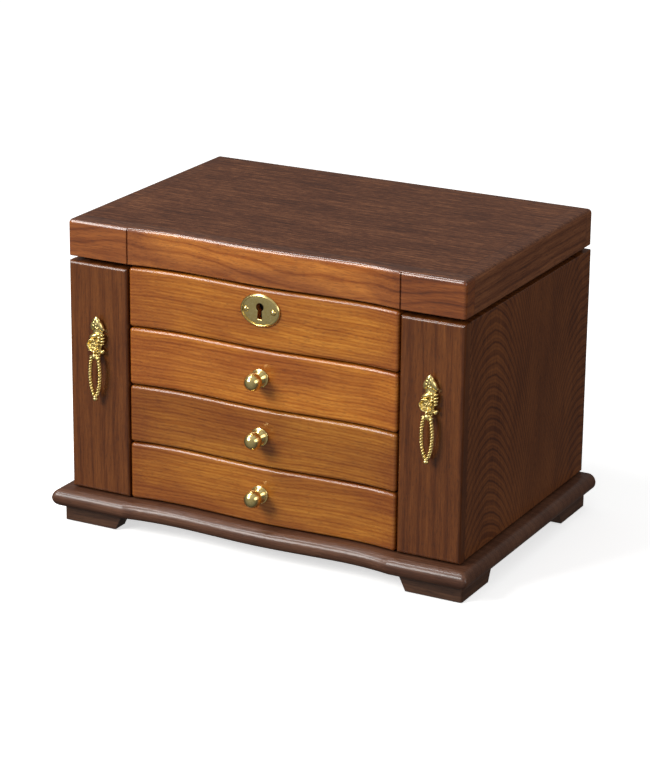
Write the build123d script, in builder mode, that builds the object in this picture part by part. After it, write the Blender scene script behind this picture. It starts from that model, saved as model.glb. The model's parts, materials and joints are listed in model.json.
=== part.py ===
"""A wooden jewelry box: hinged lid with a mirror, three drawers, two swing-out side doors.

Millimetres, +Z up, +X to the right as seen from the front, front facing -Y. The origin is on the
surface the box stands on, under the middle of the whole box, knobs and hinges included.
"""
from math import tan, radians
import os

from build123d import *

# ---- driving dimensions -------------------------------------------------------------------------
BODY_WIDTH = 340.0
BODY_DEPTH = 232.4
TOTAL_HEIGHT = 249.0
GLUE = 0.1  # glue line between solids of one node
SEAT_GAP = 0.02  # under a knob or the keyhole plate
PLAY = 0.4  # gap between a sliding piece and what carries it

FELT_HEIGHT = 0.8
FOOT_HEIGHT = 13.5  # top of the feet above the floor
BASE_THICKNESS = 14.0
BASE_OVERHANG = 12.5  # at the sides
BASE_OVERHANG_FRONT = 14.0

CENTRE_HALF = 116.0  # half width of the drawer fronts
DIP_X = 79.0  # where the wavy front is deepest
DIP_DEPTH = 3.85
CREST_DEPTH = 0.6  # the wave's middle, below the plane of the doors

FRONT_THICKNESS = 14.0
FRONT_BOTTOM = 28.7
FRONT_HEIGHT = 45.9
FRONT_PITCH = 47.2
LOCK_PANEL_HEIGHT = 47.1
EDGE_ROUND = 2.5

PARTITION_THICKNESS = 6.0
SHELF_THICKNESS = 4.0
BACK_THICKNESS = 7.0
CEILING_THICKNESS = 10.0
CEILING_SETBACK = 10.0  # from the outside of the doors

DOOR_INNER_X = 117.5
DOOR_TOP = 215.5
DOOR_FRONT_THICKNESS = 10.0
DOOR_SIDE_THICKNESS = 6.5

LID_BOTTOM = 219.5
LID_FRONT_THICKNESS = 14.5
LID_SIDE_THICKNESS = 14.0
LID_BACK_THICKNESS = 12.0
LID_PANEL_THICKNESS = 10.0
LID_ROUND = 3.5
MIRROR_THICKNESS = 2.5

DRAWER_WALL = 6.0
DRAWER_BOTTOM_THICKNESS = 3.0
DRAWER_SIDE_GAP = 1.0
DRAWER_TOP_GAP = 1.5
LINING = 2.0

KNOB_REACH = 18.6
KNOB_BALL = 7.1
KNOB_NECK = 4.0
KNOB_BASE = 7.3
KNOB_STEP = 6.2
KNOB_RISE = 1.2  # above the middle of the drawer front
KNUCKLE_RADIUS = 2.2
HINGE_AXIS_OUT = 2.6  # hinge axis behind the back of the box
LEAF_THICKNESS = 1.0
HINGE_LENGTH = 30.0
PIN_RADIUS = 1.0
PIN_CLEARANCE = 0.06

# ---- places worked out from them ----------------------------------------------------------------
HALF = BODY_WIDTH / 2
BACK_REACH = HINGE_AXIS_OUT + KNUCKLE_RADIUS
FRONT_Y = (KNOB_REACH - CREST_DEPTH + SEAT_GAP - BACK_REACH - BODY_DEPTH) / 2  # plane of the doors
BACK_Y = FRONT_Y + BODY_DEPTH
SEAT_Y = FRONT_Y + CREST_DEPTH - SEAT_GAP  # the fittings in the middle of the fronts sit here
BASE_TOP = FOOT_HEIGHT + BASE_THICKNESS
RIM_TOP = LID_BOTTOM - 0.3  # what the lid rests on
PARTITION_INNER = CENTRE_HALF - PARTITION_THICKNESS
CARCASS_FRONT = FRONT_Y + FRONT_THICKNESS + 0.5
CARCASS_BACK = BACK_Y - BACK_THICKNESS
LOCK_PANEL_BOTTOM = FRONT_BOTTOM + 3 * FRONT_PITCH
DOOR_SIDE_INNER = HALF - DOOR_SIDE_THICKNESS
HINGE_Y = BACK_Y + HINGE_AXIS_OUT
LID_HINGE_Z = (LID_BOTTOM + RIM_TOP) / 2
DOOR_HINGE_X = DOOR_SIDE_INNER - 0.1

os.makedirs("parts", exist_ok=True)


def save(solid, name):
    """Label a finished piece and write it."""
    solid.label = name
    export_step(solid, f"parts/{name}.step")


def block(low, high, mode=Mode.ADD):
    """A box between two opposite corners, in the part being built."""
    size = [b - a for a, b in zip(low, high)]
    middle = tuple((a + b) / 2 for a, b in zip(low, high))
    with Locations(middle):
        Box(*size, mode=mode)


def wavy_line(front_y):
    """The serpentine front between the doors: a dip each side of a broad crest."""
    Spline(
        (-CENTRE_HALF, front_y),
        (-DIP_X, front_y + DIP_DEPTH),
        (0, front_y + CREST_DEPTH),
        (DIP_X, front_y + DIP_DEPTH),
        (CENTRE_HALF, front_y),
        tangents=((1, 0.2), (1, -0.2)),
    )


def dome_radius(half_chord, height):
    """The radius of an arc with this half chord and height."""
    return (half_chord**2 + height**2) / (2 * height)


def outline(half_width, front_y, back_y):
    """A rectangle whose front has the serpentine in its middle, as a sketch to add."""
    with BuildSketch() as plan:
        with BuildLine():
            wavy_line(front_y)
            if half_width > CENTRE_HALF:
                Line((CENTRE_HALF, front_y), (half_width, front_y))
                Line((-CENTRE_HALF, front_y), (-half_width, front_y))
            Polyline(
                (half_width, front_y),
                (half_width, back_y),
                (-half_width, back_y),
                (-half_width, front_y),
            )
        make_face()
    return plan.sketch


# ---- base and feet ------------------------------------------------------------------------------
BASE_CORNER = 3.0
BULLNOSE = BASE_THICKNESS / 2 - 0.1

with BuildPart() as base_plate:
    with BuildSketch(Plane.XY.offset(FOOT_HEIGHT)):
        add(outline(HALF + BASE_OVERHANG, FRONT_Y - BASE_OVERHANG_FRONT, BACK_Y))
    extrude(amount=BASE_THICKNESS)
    corners = base_plate.edges().filter_by(Axis.Z).group_by(Axis.Y)[0].sort_by(Axis.X)
    fillet([corners[0], corners[-1]], BASE_CORNER)
    flat_faces = base_plate.faces().filter_by(Axis.Z)
    rims = flat_faces.edges().filter_by(lambda e: e.center().Y < BACK_Y - 1)
    fillet(rims, BULLNOSE)
save(base_plate.part, "base_plate")

FOOT_SETBACK = 7.5  # foot's outer face inside the base's edge
FOOT_WING = 47.0
FOOT_THICKNESS = 14.0
FOOT_SLANT = 26.0
FOOT_OUT_X = HALF + BASE_OVERHANG - FOOT_SETBACK
FOOT_FRONT_Y = FRONT_Y - BASE_OVERHANG_FRONT + FOOT_SETBACK + 2.2
FOOT_REAR_Y = BACK_Y - 4.0
foot_rise = FOOT_HEIGHT - FELT_HEIGHT
slant_run = foot_rise * tan(radians(FOOT_SLANT))


def foot(side, end):
    """An L-shaped bracket foot with slanted ends; side is -1 or 1, end -1 for the front."""
    corner_y = FOOT_FRONT_Y if end < 0 else FOOT_REAR_Y
    with BuildPart() as bracket:
        with BuildSketch(Plane.XZ.offset(-corner_y)):
            with BuildLine():
                Polyline(
                    (side * FOOT_OUT_X, FELT_HEIGHT),
                    (side * (FOOT_OUT_X - FOOT_WING), FELT_HEIGHT),
                    (side * (FOOT_OUT_X - FOOT_WING - slant_run), FOOT_HEIGHT),
                    (side * FOOT_OUT_X, FOOT_HEIGHT),
                    close=True,
                )
            make_face()
        extrude(amount=end * FOOT_THICKNESS)
        with BuildSketch(Plane.YZ.offset(side * FOOT_OUT_X)):
            with BuildLine():
                Polyline(
                    (corner_y, FELT_HEIGHT),
                    (corner_y - end * FOOT_WING, FELT_HEIGHT),
                    (corner_y - end * (FOOT_WING + slant_run), FOOT_HEIGHT),
                    (corner_y, FOOT_HEIGHT),
                    close=True,
                )
            make_face()
        extrude(amount=-side * FOOT_THICKNESS)
        upright = bracket.edges().filter_by(Axis.Z)
        outer = upright.sort_by(lambda e: side * e.center().X + end * e.center().Y)[-1]
        fillet(outer, 2.0)
    return bracket.part


for end, end_name in ((-1, "front"), (1, "rear")):
    for side, side_name in ((-1, "left"), (1, "right")):
        save(foot(side, end), f"foot_{end_name}_{side_name}")

FELT_RADIUS = 5.5
with BuildPart() as foot_felts:
    with BuildSketch(Plane.XY):
        for corner_y, inward in ((FOOT_FRONT_Y, 1), (FOOT_REAR_Y, -1)):
            for side in (-1, 1):
                x = side * (FOOT_OUT_X - FOOT_THICKNESS / 2)
                with Locations((x, corner_y + inward * FOOT_THICKNESS / 2)):
                    Circle(FELT_RADIUS)
    extrude(amount=FELT_HEIGHT)
save(foot_felts.part, "foot_felts")

# ---- carcass ------------------------------------------------------------------------------------
for side, side_name in ((-1, "left"), (1, "right")):
    inner, outer = sorted((side * PARTITION_INNER, side * CENTRE_HALF))
    with BuildPart() as partition:
        block((inner, CARCASS_FRONT, BASE_TOP), (outer, CARCASS_BACK, RIM_TOP))
        front_edges = partition.edges().filter_by(Axis.Z).group_by(Axis.Y)[0]
        chamfer(front_edges, 0.5)
    save(partition.part, f"partition_{side_name}")

    near, far = sorted((side * CENTRE_HALF, side * (HALF - CEILING_SETBACK)))
    with BuildPart() as ceiling:
        block(
            (near, CARCASS_FRONT, RIM_TOP - CEILING_THICKNESS),
            (far, CARCASS_BACK, RIM_TOP),
        )
    save(ceiling.part, f"ceiling_{side_name}")

with BuildPart() as back_panel:
    block(
        (-DOOR_SIDE_INNER + 0.5, CARCASS_BACK, BASE_TOP),
        (DOOR_SIDE_INNER - 0.5, BACK_Y, RIM_TOP),
    )
    chamfer(back_panel.edges().filter_by(Axis.Z).group_by(Axis.Y)[-1], 0.5)
save(back_panel.part, "back_panel")

shelf_mid = [FRONT_BOTTOM + k * FRONT_PITCH - (FRONT_PITCH - FRONT_HEIGHT) / 2 for k in (1, 2, 3)]
for number, middle in enumerate(shelf_mid, start=1):
    with BuildPart() as shelf:
        block(
            (-PARTITION_INNER, CARCASS_FRONT + 1, middle - SHELF_THICKNESS / 2),
            (PARTITION_INNER, CARCASS_BACK, middle + SHELF_THICKNESS / 2),
        )
        chamfer(shelf.edges().filter_by(Axis.X).group_by(Axis.Y)[0], 0.5)
    save(shelf.part, f"shelf_{number}")
TRAY_FLOOR = shelf_mid[2] + SHELF_THICKNESS / 2


def wavy_front(bottom, height, back_y):
    """The blank of a drawer front or of the fixed lock panel, with its front edges rounded."""
    with BuildPart() as blank:
        with BuildSketch(Plane.XY.offset(bottom)):
            add(outline(CENTRE_HALF, FRONT_Y, back_y))
        extrude(amount=height)
        face_edges = blank.edges().filter_by(lambda e: e.center().Y < FRONT_Y + 2 * DIP_DEPTH)
        fillet(face_edges, EDGE_ROUND)
    return blank.part


# ---- fixed front with the box lock --------------------------------------------------------------
KEY_Z = LOCK_PANEL_BOTTOM + 33.1
KEY_RADIUS = 3.25
KEY_SLOT_TOP = 1.4  # half width of the keyhole's slot at the round, and at its foot
KEY_SLOT_FOOT = 2.2
KEY_SLOT_LENGTH = 9.5
MORTISE_HALF = 18.0
MORTISE_DEPTH = 9.0
MORTISE_HEIGHT = 30.0
LOCK_PANEL_TOP = LOCK_PANEL_BOTTOM + LOCK_PANEL_HEIGHT
lock_back = CARCASS_FRONT
lock_front = lock_back - MORTISE_DEPTH
lock_top = LOCK_PANEL_TOP - 0.2
lock_bottom = LOCK_PANEL_TOP - MORTISE_HEIGHT


with BuildSketch(mode=Mode.PRIVATE) as keyhole:  # in the plane of the front, y up
    with Locations((0, KEY_Z)):
        Circle(KEY_RADIUS)
    with BuildLine():
        Polyline(
            (-KEY_SLOT_TOP, KEY_Z),
            (KEY_SLOT_TOP, KEY_Z),
            (KEY_SLOT_FOOT, KEY_Z - KEY_SLOT_LENGTH),
            (-KEY_SLOT_FOOT, KEY_Z - KEY_SLOT_LENGTH),
            close=True,
        )
    make_face()

lock_blank = wavy_front(LOCK_PANEL_BOTTOM, LOCK_PANEL_HEIGHT, CARCASS_FRONT)
with BuildPart() as lock_panel:
    add(lock_blank)
    block(
        (-MORTISE_HALF - 0.1, lock_front - 0.1, lock_bottom),
        (MORTISE_HALF + 0.1, lock_back + 1, LOCK_PANEL_TOP + 1),
        mode=Mode.SUBTRACT,
    )
    with BuildSketch(Plane.XZ.offset(-lock_back)):
        add(keyhole.sketch)
    extrude(amount=FRONT_THICKNESS * 2, mode=Mode.SUBTRACT)
save(lock_panel.part, "lock_panel")

ESCUTCHEON_WIDTH = 34.0
ESCUTCHEON_HEIGHT = 26.0
ESCUTCHEON_THICKNESS = 2.2
RIM_WIDTH = 2.6
ESCUTCHEON_Z = KEY_Z - 2.6
PIN_HEAD_X = 11.7
PIN_HOLE_RADIUS = 0.8
PLATE_BEVEL = 1.2
PLATE_RECESS = 0.8  # of the flat inside the plate's raised rim

with BuildPart() as escutcheon:
    with BuildSketch(Plane.XZ.offset(-SEAT_Y)):
        with Locations((0, ESCUTCHEON_Z)):
            Ellipse(ESCUTCHEON_WIDTH / 2, ESCUTCHEON_HEIGHT / 2)
    extrude(amount=ESCUTCHEON_THICKNESS)
    front_rim = escutcheon.faces().filter_by(Axis.Y).sort_by(Axis.Y)[0].edges()
    chamfer(front_rim, PLATE_BEVEL)
    with BuildSketch(Plane.XZ.offset(-(SEAT_Y - ESCUTCHEON_THICKNESS))):
        with Locations((0, ESCUTCHEON_Z)):
            Ellipse(ESCUTCHEON_WIDTH / 2 - RIM_WIDTH, ESCUTCHEON_HEIGHT / 2 - RIM_WIDTH)
    extrude(amount=-PLATE_RECESS, mode=Mode.SUBTRACT)
    with BuildSketch(Plane.XZ.offset(-SEAT_Y)):
        add(keyhole.sketch)
    extrude(amount=ESCUTCHEON_THICKNESS * 2, mode=Mode.SUBTRACT)
    for x in (-PIN_HEAD_X, PIN_HEAD_X):
        with Locations(Plane((x, SEAT_Y - ESCUTCHEON_THICKNESS, ESCUTCHEON_Z), z_dir=(0, -1, 0))):
            Hole(PIN_HOLE_RADIUS, depth=2 * ESCUTCHEON_THICKNESS)
save(escutcheon.part, "escutcheon")

plate_y = SEAT_Y - ESCUTCHEON_THICKNESS + PLATE_RECESS
PIN_HEAD_RADIUS = 2.3
PIN_HEAD_HEIGHT = 1.5
PIN_SHANK_RADIUS = 0.75
with BuildPart() as escutcheon_pins:
    for x in (-PIN_HEAD_X, PIN_HEAD_X):
        with BuildSketch(Plane.XY.offset(ESCUTCHEON_Z)):
            with BuildLine():
                tip = (x, plate_y - PIN_HEAD_HEIGHT)
                Polyline(
                    tip,
                    (x, SEAT_Y),
                    (x + PIN_SHANK_RADIUS, SEAT_Y),
                    (x + PIN_SHANK_RADIUS, plate_y),
                    (x + PIN_HEAD_RADIUS, plate_y),
                )
                dome = dome_radius(PIN_HEAD_RADIUS, PIN_HEAD_HEIGHT)
                RadiusArc((x + PIN_HEAD_RADIUS, plate_y), tip, dome)
            make_face()
        revolve(axis=Axis((x, 0, ESCUTCHEON_Z), (0, 1, 0)))
save(escutcheon_pins.part, "escutcheon_pins")

# box lock: a sheet case in the mortise, a sliding bolt, and two hooked prongs on the lid
CASE_WALL = 1.0
PRONG_X = 9.0
PRONG_WIDTH = 7.0
PRONG_THICKNESS = 2.0
PRONG_TIP = lock_top - 12.5
NOTCH_BOTTOM = PRONG_TIP + 2.5
NOTCH_HEIGHT = 4.2
BOLT_LEFT = -15.5
BOLT_RIGHT = 9.0
BOLT_NEAR = 1.6  # the bolt's two faces, behind the middle of the prongs
BOLT_FAR = 3.2
BOLT_DROP = 3.0  # below the notches
BOLT_PLAY = 0.5  # between a nose and its notch
NOSE_LENGTH = 2.5
STRIKE_HALF = 17.0
STRIKE_REACH = 3.5
HOOK_DEPTH = 4.2  # of the notch in a prong
prong_y = (lock_front + lock_back) / 2 - 0.6

with BuildPart() as lock_case:
    block((-MORTISE_HALF, lock_front, lock_bottom + 0.1), (MORTISE_HALF, lock_back, lock_top))
    block(
        (-MORTISE_HALF + CASE_WALL, lock_front + CASE_WALL, lock_bottom + 0.1 + CASE_WALL),
        (MORTISE_HALF - CASE_WALL, lock_back - CASE_WALL, lock_top - CASE_WALL),
        mode=Mode.SUBTRACT,
    )
    for x in (-PRONG_X, PRONG_X):
        block(
            (x - PRONG_WIDTH / 2 - 0.8, prong_y - PRONG_THICKNESS / 2 - 0.6, lock_top - 3),
            (x + PRONG_WIDTH / 2 + 0.8, prong_y + PRONG_THICKNESS / 2 + 0.6, lock_top + 1),
            mode=Mode.SUBTRACT,
        )
    with BuildSketch(Plane.XZ.offset(-lock_front - 0.5)):
        add(keyhole.sketch)
    extrude(amount=2 * CASE_WALL, mode=Mode.SUBTRACT)
save(lock_case.part, "lock_case")

with BuildPart() as lock_bolt:
    nose_top = NOTCH_BOTTOM + NOTCH_HEIGHT - BOLT_PLAY
    block(
        (BOLT_LEFT, prong_y + BOLT_NEAR, NOTCH_BOTTOM - BOLT_DROP),
        (BOLT_RIGHT, prong_y + BOLT_FAR, nose_top),
    )
    for x in (-PRONG_X, PRONG_X):
        tip_x = x - PRONG_WIDTH / 2 - BOLT_PLAY
        block(
            (tip_x - NOSE_LENGTH, prong_y - PRONG_THICKNESS / 2, NOTCH_BOTTOM + BOLT_PLAY),
            (tip_x, prong_y + BOLT_NEAR + 0.1, nose_top),
        )
save(lock_bolt.part, "lock_bolt")

with BuildPart() as strike_plate:
    block(
        (-STRIKE_HALF, prong_y - STRIKE_REACH, LID_BOTTOM - 1.2),
        (STRIKE_HALF, prong_y + STRIKE_REACH, LID_BOTTOM),
    )
    fillet(strike_plate.edges().filter_by(Axis.Z), 2.0)
    for x in (-PRONG_X, PRONG_X):
        block(
            (x - PRONG_WIDTH / 2, prong_y - PRONG_THICKNESS / 2, PRONG_TIP),
            (x + PRONG_WIDTH / 2, prong_y + PRONG_THICKNESS / 2, LID_BOTTOM - 1),
        )
        block(
            (x - PRONG_WIDTH / 2 - 1, prong_y - 2, NOTCH_BOTTOM),
            (x - PRONG_WIDTH / 2 + HOOK_DEPTH, prong_y + 2, NOTCH_BOTTOM + NOTCH_HEIGHT),
            mode=Mode.SUBTRACT,
        )
save(strike_plate.part, "strike_plate")

# ---- lined tray under the lid -------------------------------------------------------------------
LINING_TOP = RIM_TOP - 6.0
tray_half = PARTITION_INNER - 0.2
tray_front = CARCASS_FRONT + 0.3
tray_back = CARCASS_BACK - 0.2
ROLLS_HALF = 62.0
LONG_DIVIDER_Y = 28.0
DIVIDER_THICKNESS = 4.0
ROLL_RADIUS = 6.8
ROLL_COUNT = 8

with BuildPart() as tray_lining:
    block((-tray_half, tray_front, TRAY_FLOOR), (tray_half, tray_back, LINING_TOP))
    block(
        (-tray_half + LINING, tray_front + LINING, TRAY_FLOOR + LINING),
        (tray_half - LINING, tray_back - LINING, LINING_TOP + 1),
        mode=Mode.SUBTRACT,
    )
save(tray_lining.part, "tray_lining")

well_half = tray_half - LINING - GLUE
well_front = tray_front + LINING + GLUE
well_back = tray_back - LINING - GLUE
floor_z = TRAY_FLOOR + LINING + GLUE
divider_top = LINING_TOP - 8.0
rear_cells = 36.0
with BuildPart() as tray_dividers:
    block(
        (-well_half, LONG_DIVIDER_Y, floor_z),
        (well_half, LONG_DIVIDER_Y + DIVIDER_THICKNESS, divider_top),
    )
    for side in (-1, 1):
        near, far = sorted((side * ROLLS_HALF, side * (ROLLS_HALF + DIVIDER_THICKNESS)))
        block((near, well_front, floor_z), (far, LONG_DIVIDER_Y - GLUE, divider_top))
        near, far = sorted((side * rear_cells, side * (rear_cells + DIVIDER_THICKNESS)))
        block((near, LONG_DIVIDER_Y + DIVIDER_THICKNESS + GLUE, floor_z), (far, well_back, divider_top))
save(tray_dividers.part, "tray_dividers")

roll_pitch = (LONG_DIVIDER_Y - well_front) / ROLL_COUNT
with BuildPart() as ring_rolls:
    for k in range(ROLL_COUNT):
        centre = (well_front + (k + 0.5) * roll_pitch, floor_z + ROLL_RADIUS + 5.0)
        with BuildSketch(Plane.YZ.offset(-ROLLS_HALF + 0.5)):
            with Locations(centre):
                Circle(ROLL_RADIUS)
            with Locations((centre[0], centre[1] - ROLL_RADIUS / 2 - 2.5)):
                Rectangle(2 * ROLL_RADIUS, ROLL_RADIUS + 5)
        extrude(amount=2 * ROLLS_HALF - 1)
save(ring_rolls.part, "ring_rolls")

# ---- lid ----------------------------------------------------------------------------------------
GROOVE_X = CENTRE_HALF + 1.0
GROOVE_HALF = 0.7
GROOVE_DEPTH = 1.2

with BuildPart() as lid_blank:
    with BuildSketch(Plane.XY.offset(LID_BOTTOM)):
        add(outline(HALF, FRONT_Y, BACK_Y))
    extrude(amount=TOTAL_HEIGHT - LID_BOTTOM)
    uprights = lid_blank.edges().filter_by(Axis.Z).filter_by(lambda e: abs(e.center().X) > HALF - 1)
    fillet(uprights, EDGE_ROUND)
    fillet(lid_blank.faces().sort_by(Axis.Z)[-1].edges(), LID_ROUND)
    fillet(lid_blank.faces().sort_by(Axis.Z)[0].edges(), 0.8)
    for x in (-GROOVE_X, GROOVE_X):
        with BuildSketch(Plane.XY.offset(LID_BOTTOM - 1)):
            with BuildLine():
                Polyline(
                    (x - GROOVE_HALF, FRONT_Y - 0.5),
                    (x + GROOVE_HALF, FRONT_Y - 0.5),
                    (x + GROOVE_HALF / 2, FRONT_Y + GROOVE_DEPTH),
                    (x - GROOVE_HALF / 2, FRONT_Y + GROOVE_DEPTH),
                    close=True,
                )
            make_face()
        extrude(amount=TOTAL_HEIGHT - LID_BOTTOM + 2, mode=Mode.SUBTRACT)

lid_inner_x = HALF - LID_SIDE_THICKNESS
lid_inner_front = FRONT_Y + LID_FRONT_THICKNESS
lid_inner_back = BACK_Y - LID_BACK_THICKNESS
panel_bottom = TOTAL_HEIGHT - LID_PANEL_THICKNESS
BEYOND = 5.0  # how far a cutting box runs past the lid


def lid_piece(low, high):
    """The part of the rounded lid blank inside a box."""
    with BuildPart() as piece:
        add(lid_blank.part)
        block(low, high, mode=Mode.INTERSECT)
    return piece.part


low_z = LID_BOTTOM - BEYOND
high_z = TOTAL_HEIGHT + BEYOND
save(
    lid_piece((-HALF - BEYOND, FRONT_Y - BEYOND, low_z), (HALF + BEYOND, lid_inner_front, high_z)),
    "lid_front",
)
save(
    lid_piece((-HALF - BEYOND, lid_inner_back, low_z), (HALF + BEYOND, BACK_Y + BEYOND, high_z)),
    "lid_back",
)
for side, side_name in ((-1, "left"), (1, "right")):
    near, far = sorted((side * lid_inner_x, side * (HALF + BEYOND)))
    save(
        lid_piece((near, lid_inner_front, low_z), (far, lid_inner_back, high_z)),
        f"lid_side_{side_name}",
    )
save(
    lid_piece((-lid_inner_x, lid_inner_front, panel_bottom), (lid_inner_x, lid_inner_back, high_z)),
    "lid_top",
)

FRAME_WIDTH = 16.0
FRAME_LIP = 3.0
FRAME_THICKNESS = 5.5
mirror_half = lid_inner_x - FRAME_WIDTH
mirror_front = lid_inner_front + FRAME_WIDTH
mirror_back = lid_inner_back - FRAME_WIDTH
with BuildPart() as mirror:
    block(
        (-mirror_half, mirror_front, panel_bottom - MIRROR_THICKNESS),
        (mirror_half, mirror_back, panel_bottom),
    )
save(mirror.part, "mirror")

with BuildPart() as mirror_frame:
    frame_bottom = panel_bottom - FRAME_THICKNESS
    block((-lid_inner_x, lid_inner_front, frame_bottom), (lid_inner_x, lid_inner_back, panel_bottom))
    block(
        (-mirror_half - GLUE, mirror_front - GLUE, panel_bottom - MIRROR_THICKNESS - GLUE),
        (mirror_half + GLUE, mirror_back + GLUE, panel_bottom + 1),
        mode=Mode.SUBTRACT,
    )
    block(
        (-mirror_half + FRAME_LIP, mirror_front + FRAME_LIP, frame_bottom - 1),
        (mirror_half - FRAME_LIP, mirror_back - FRAME_LIP, panel_bottom),
        mode=Mode.SUBTRACT,
    )
    inner_rim = mirror_frame.faces().sort_by(Axis.Z)[0].inner_wires().edges()
    chamfer(inner_rim, 2.0)
save(mirror_frame.part, "mirror_frame")


# ---- hinges -------------------------------------------------------------------------------------
SEGMENT = HINGE_LENGTH / 3
SEGMENT_GAP = 0.2
LEAF_NOTCH = 0.4  # clearance of a leaf round the other leaf's knuckle


def hinge_leaf(width, moving):
    """One leaf of a butt hinge along +Z from z = 0, its axis the Z axis, its leaf towards +X.

    The back of the leaf lies HINGE_AXIS_OUT on the -Y side of the axis. The fixed leaf carries two
    knuckles and the pin; the moving one has the bored knuckle between them.
    """
    spans = [(SEGMENT + SEGMENT_GAP, 2 * SEGMENT - SEGMENT_GAP)]
    if not moving:
        spans = [(0, SEGMENT), (2 * SEGMENT, HINGE_LENGTH)]
    with BuildPart() as leaf:
        inner_x = KNUCKLE_RADIUS + LEAF_NOTCH
        block((inner_x, -HINGE_AXIS_OUT, 0), (width, -HINGE_AXIS_OUT + LEAF_THICKNESS, HINGE_LENGTH))
        for low, high in spans:
            block((0, -HINGE_AXIS_OUT, low), (inner_x, -HINGE_AXIS_OUT + LEAF_THICKNESS, high))
            with BuildSketch(Plane.XY.offset(low)):
                Circle(KNUCKLE_RADIUS)
            extrude(amount=high - low)
        with BuildSketch(Plane.XY):
            Circle(PIN_RADIUS + (PIN_CLEARANCE if moving else 0))
        extrude(amount=HINGE_LENGTH, mode=Mode.SUBTRACT if moving else Mode.ADD)
        screw_x = (inner_x + width) / 2
        for z in (SEGMENT * 0.6, HINGE_LENGTH - SEGMENT * 0.6):
            with Locations(Plane((screw_x, -HINGE_AXIS_OUT + LEAF_THICKNESS, z), z_dir=(0, 1, 0))):
                CounterSinkHole(0.8, 1.4, depth=5)
    return leaf.part


def placed(leaf, origin, x_dir, z_dir):
    """The leaf with its own X and Z axes turned to the given directions."""
    return Plane(origin=origin, x_dir=x_dir, z_dir=z_dir).location * leaf


def group(solids):
    """Several separate solids as one piece to write."""
    return Compound(children=list(solids))


LID_LEAF = 14.0
CASE_LEAF = 14.0
DOOR_LEAF = 6.0
LID_HINGE_X = (-95.0, 95.0)
DOOR_HINGE_Z = (50.0, 165.0)

# the leaf's own +Y points away from the box, so x_dir, z_dir and +Y follow the right-hand rule
fixed_leaf = hinge_leaf(CASE_LEAF, moving=False)
lid_leaf = hinge_leaf(LID_LEAF, moving=True)
door_leaf = hinge_leaf(DOOR_LEAF, moving=True)

lid_starts = [x - HINGE_LENGTH / 2 for x in LID_HINGE_X]
save(
    group(
        placed(fixed_leaf, (x, HINGE_Y, LID_HINGE_Z), (0, 0, -1), (1, 0, 0)) for x in lid_starts
    ),
    "lid_hinge_case_leaves",
)
save(
    group(
        placed(lid_leaf, (x + HINGE_LENGTH, HINGE_Y, LID_HINGE_Z), (0, 0, 1), (-1, 0, 0))
        for x in lid_starts
    ),
    "lid_hinge_lid_leaves",
)
case_door_leaves = []
for side in (-1, 1):
    for z in DOOR_HINGE_Z:
        start = z if side < 0 else z + HINGE_LENGTH
        case_door_leaves.append(
            placed(fixed_leaf, (side * DOOR_HINGE_X, HINGE_Y, start), (-side, 0, 0), (0, 0, -side))
        )
save(group(case_door_leaves), "door_hinge_case_leaves")

# ---- swing-out side doors -----------------------------------------------------------------------
HOOK_COUNT = 5
HOOK_Z = 192.0
HOOK_PITCH = 36.0
HOOK_LENGTH = 16.0
HOOK_RADIUS = 1.5
HOOK_BALL = 2.6
POCKET_REACH = 16.0
POCKET_BOTTOM = 31.0
POCKET_TOP = 76.0
POCKET_WALL = 1.6
PULL_X = (DOOR_INNER_X + HALF) / 2
PULL_TOP = 175.5
PULL_PIVOT_Z = 143.0
PULL_PIVOT_OUT = 6.0
EAR_INNER = 2.0
EAR_OUTER = 3.4
EAR_REACH = 1.8
LOOP_BOTTOM = 106.5
LOOP_HALF = 4.4
STRAND = 1.35
EYE_OUTER = 2.2
EYE_HALF_WIDTH = 1.6
FINIAL_RADIUS = 2.3
JOINT_LINE = 0.4

hook_neck = HOOK_LENGTH - HOOK_BALL - (HOOK_BALL**2 - HOOK_RADIUS**2) ** 0.5
inside_front = FRONT_Y + DOOR_FRONT_THICKNESS
hook_middle = (inside_front + BACK_Y) / 2
hook_ys = [hook_middle + (k - (HOOK_COUNT - 1) / 2) * HOOK_PITCH for k in range(HOOK_COUNT)]

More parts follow.
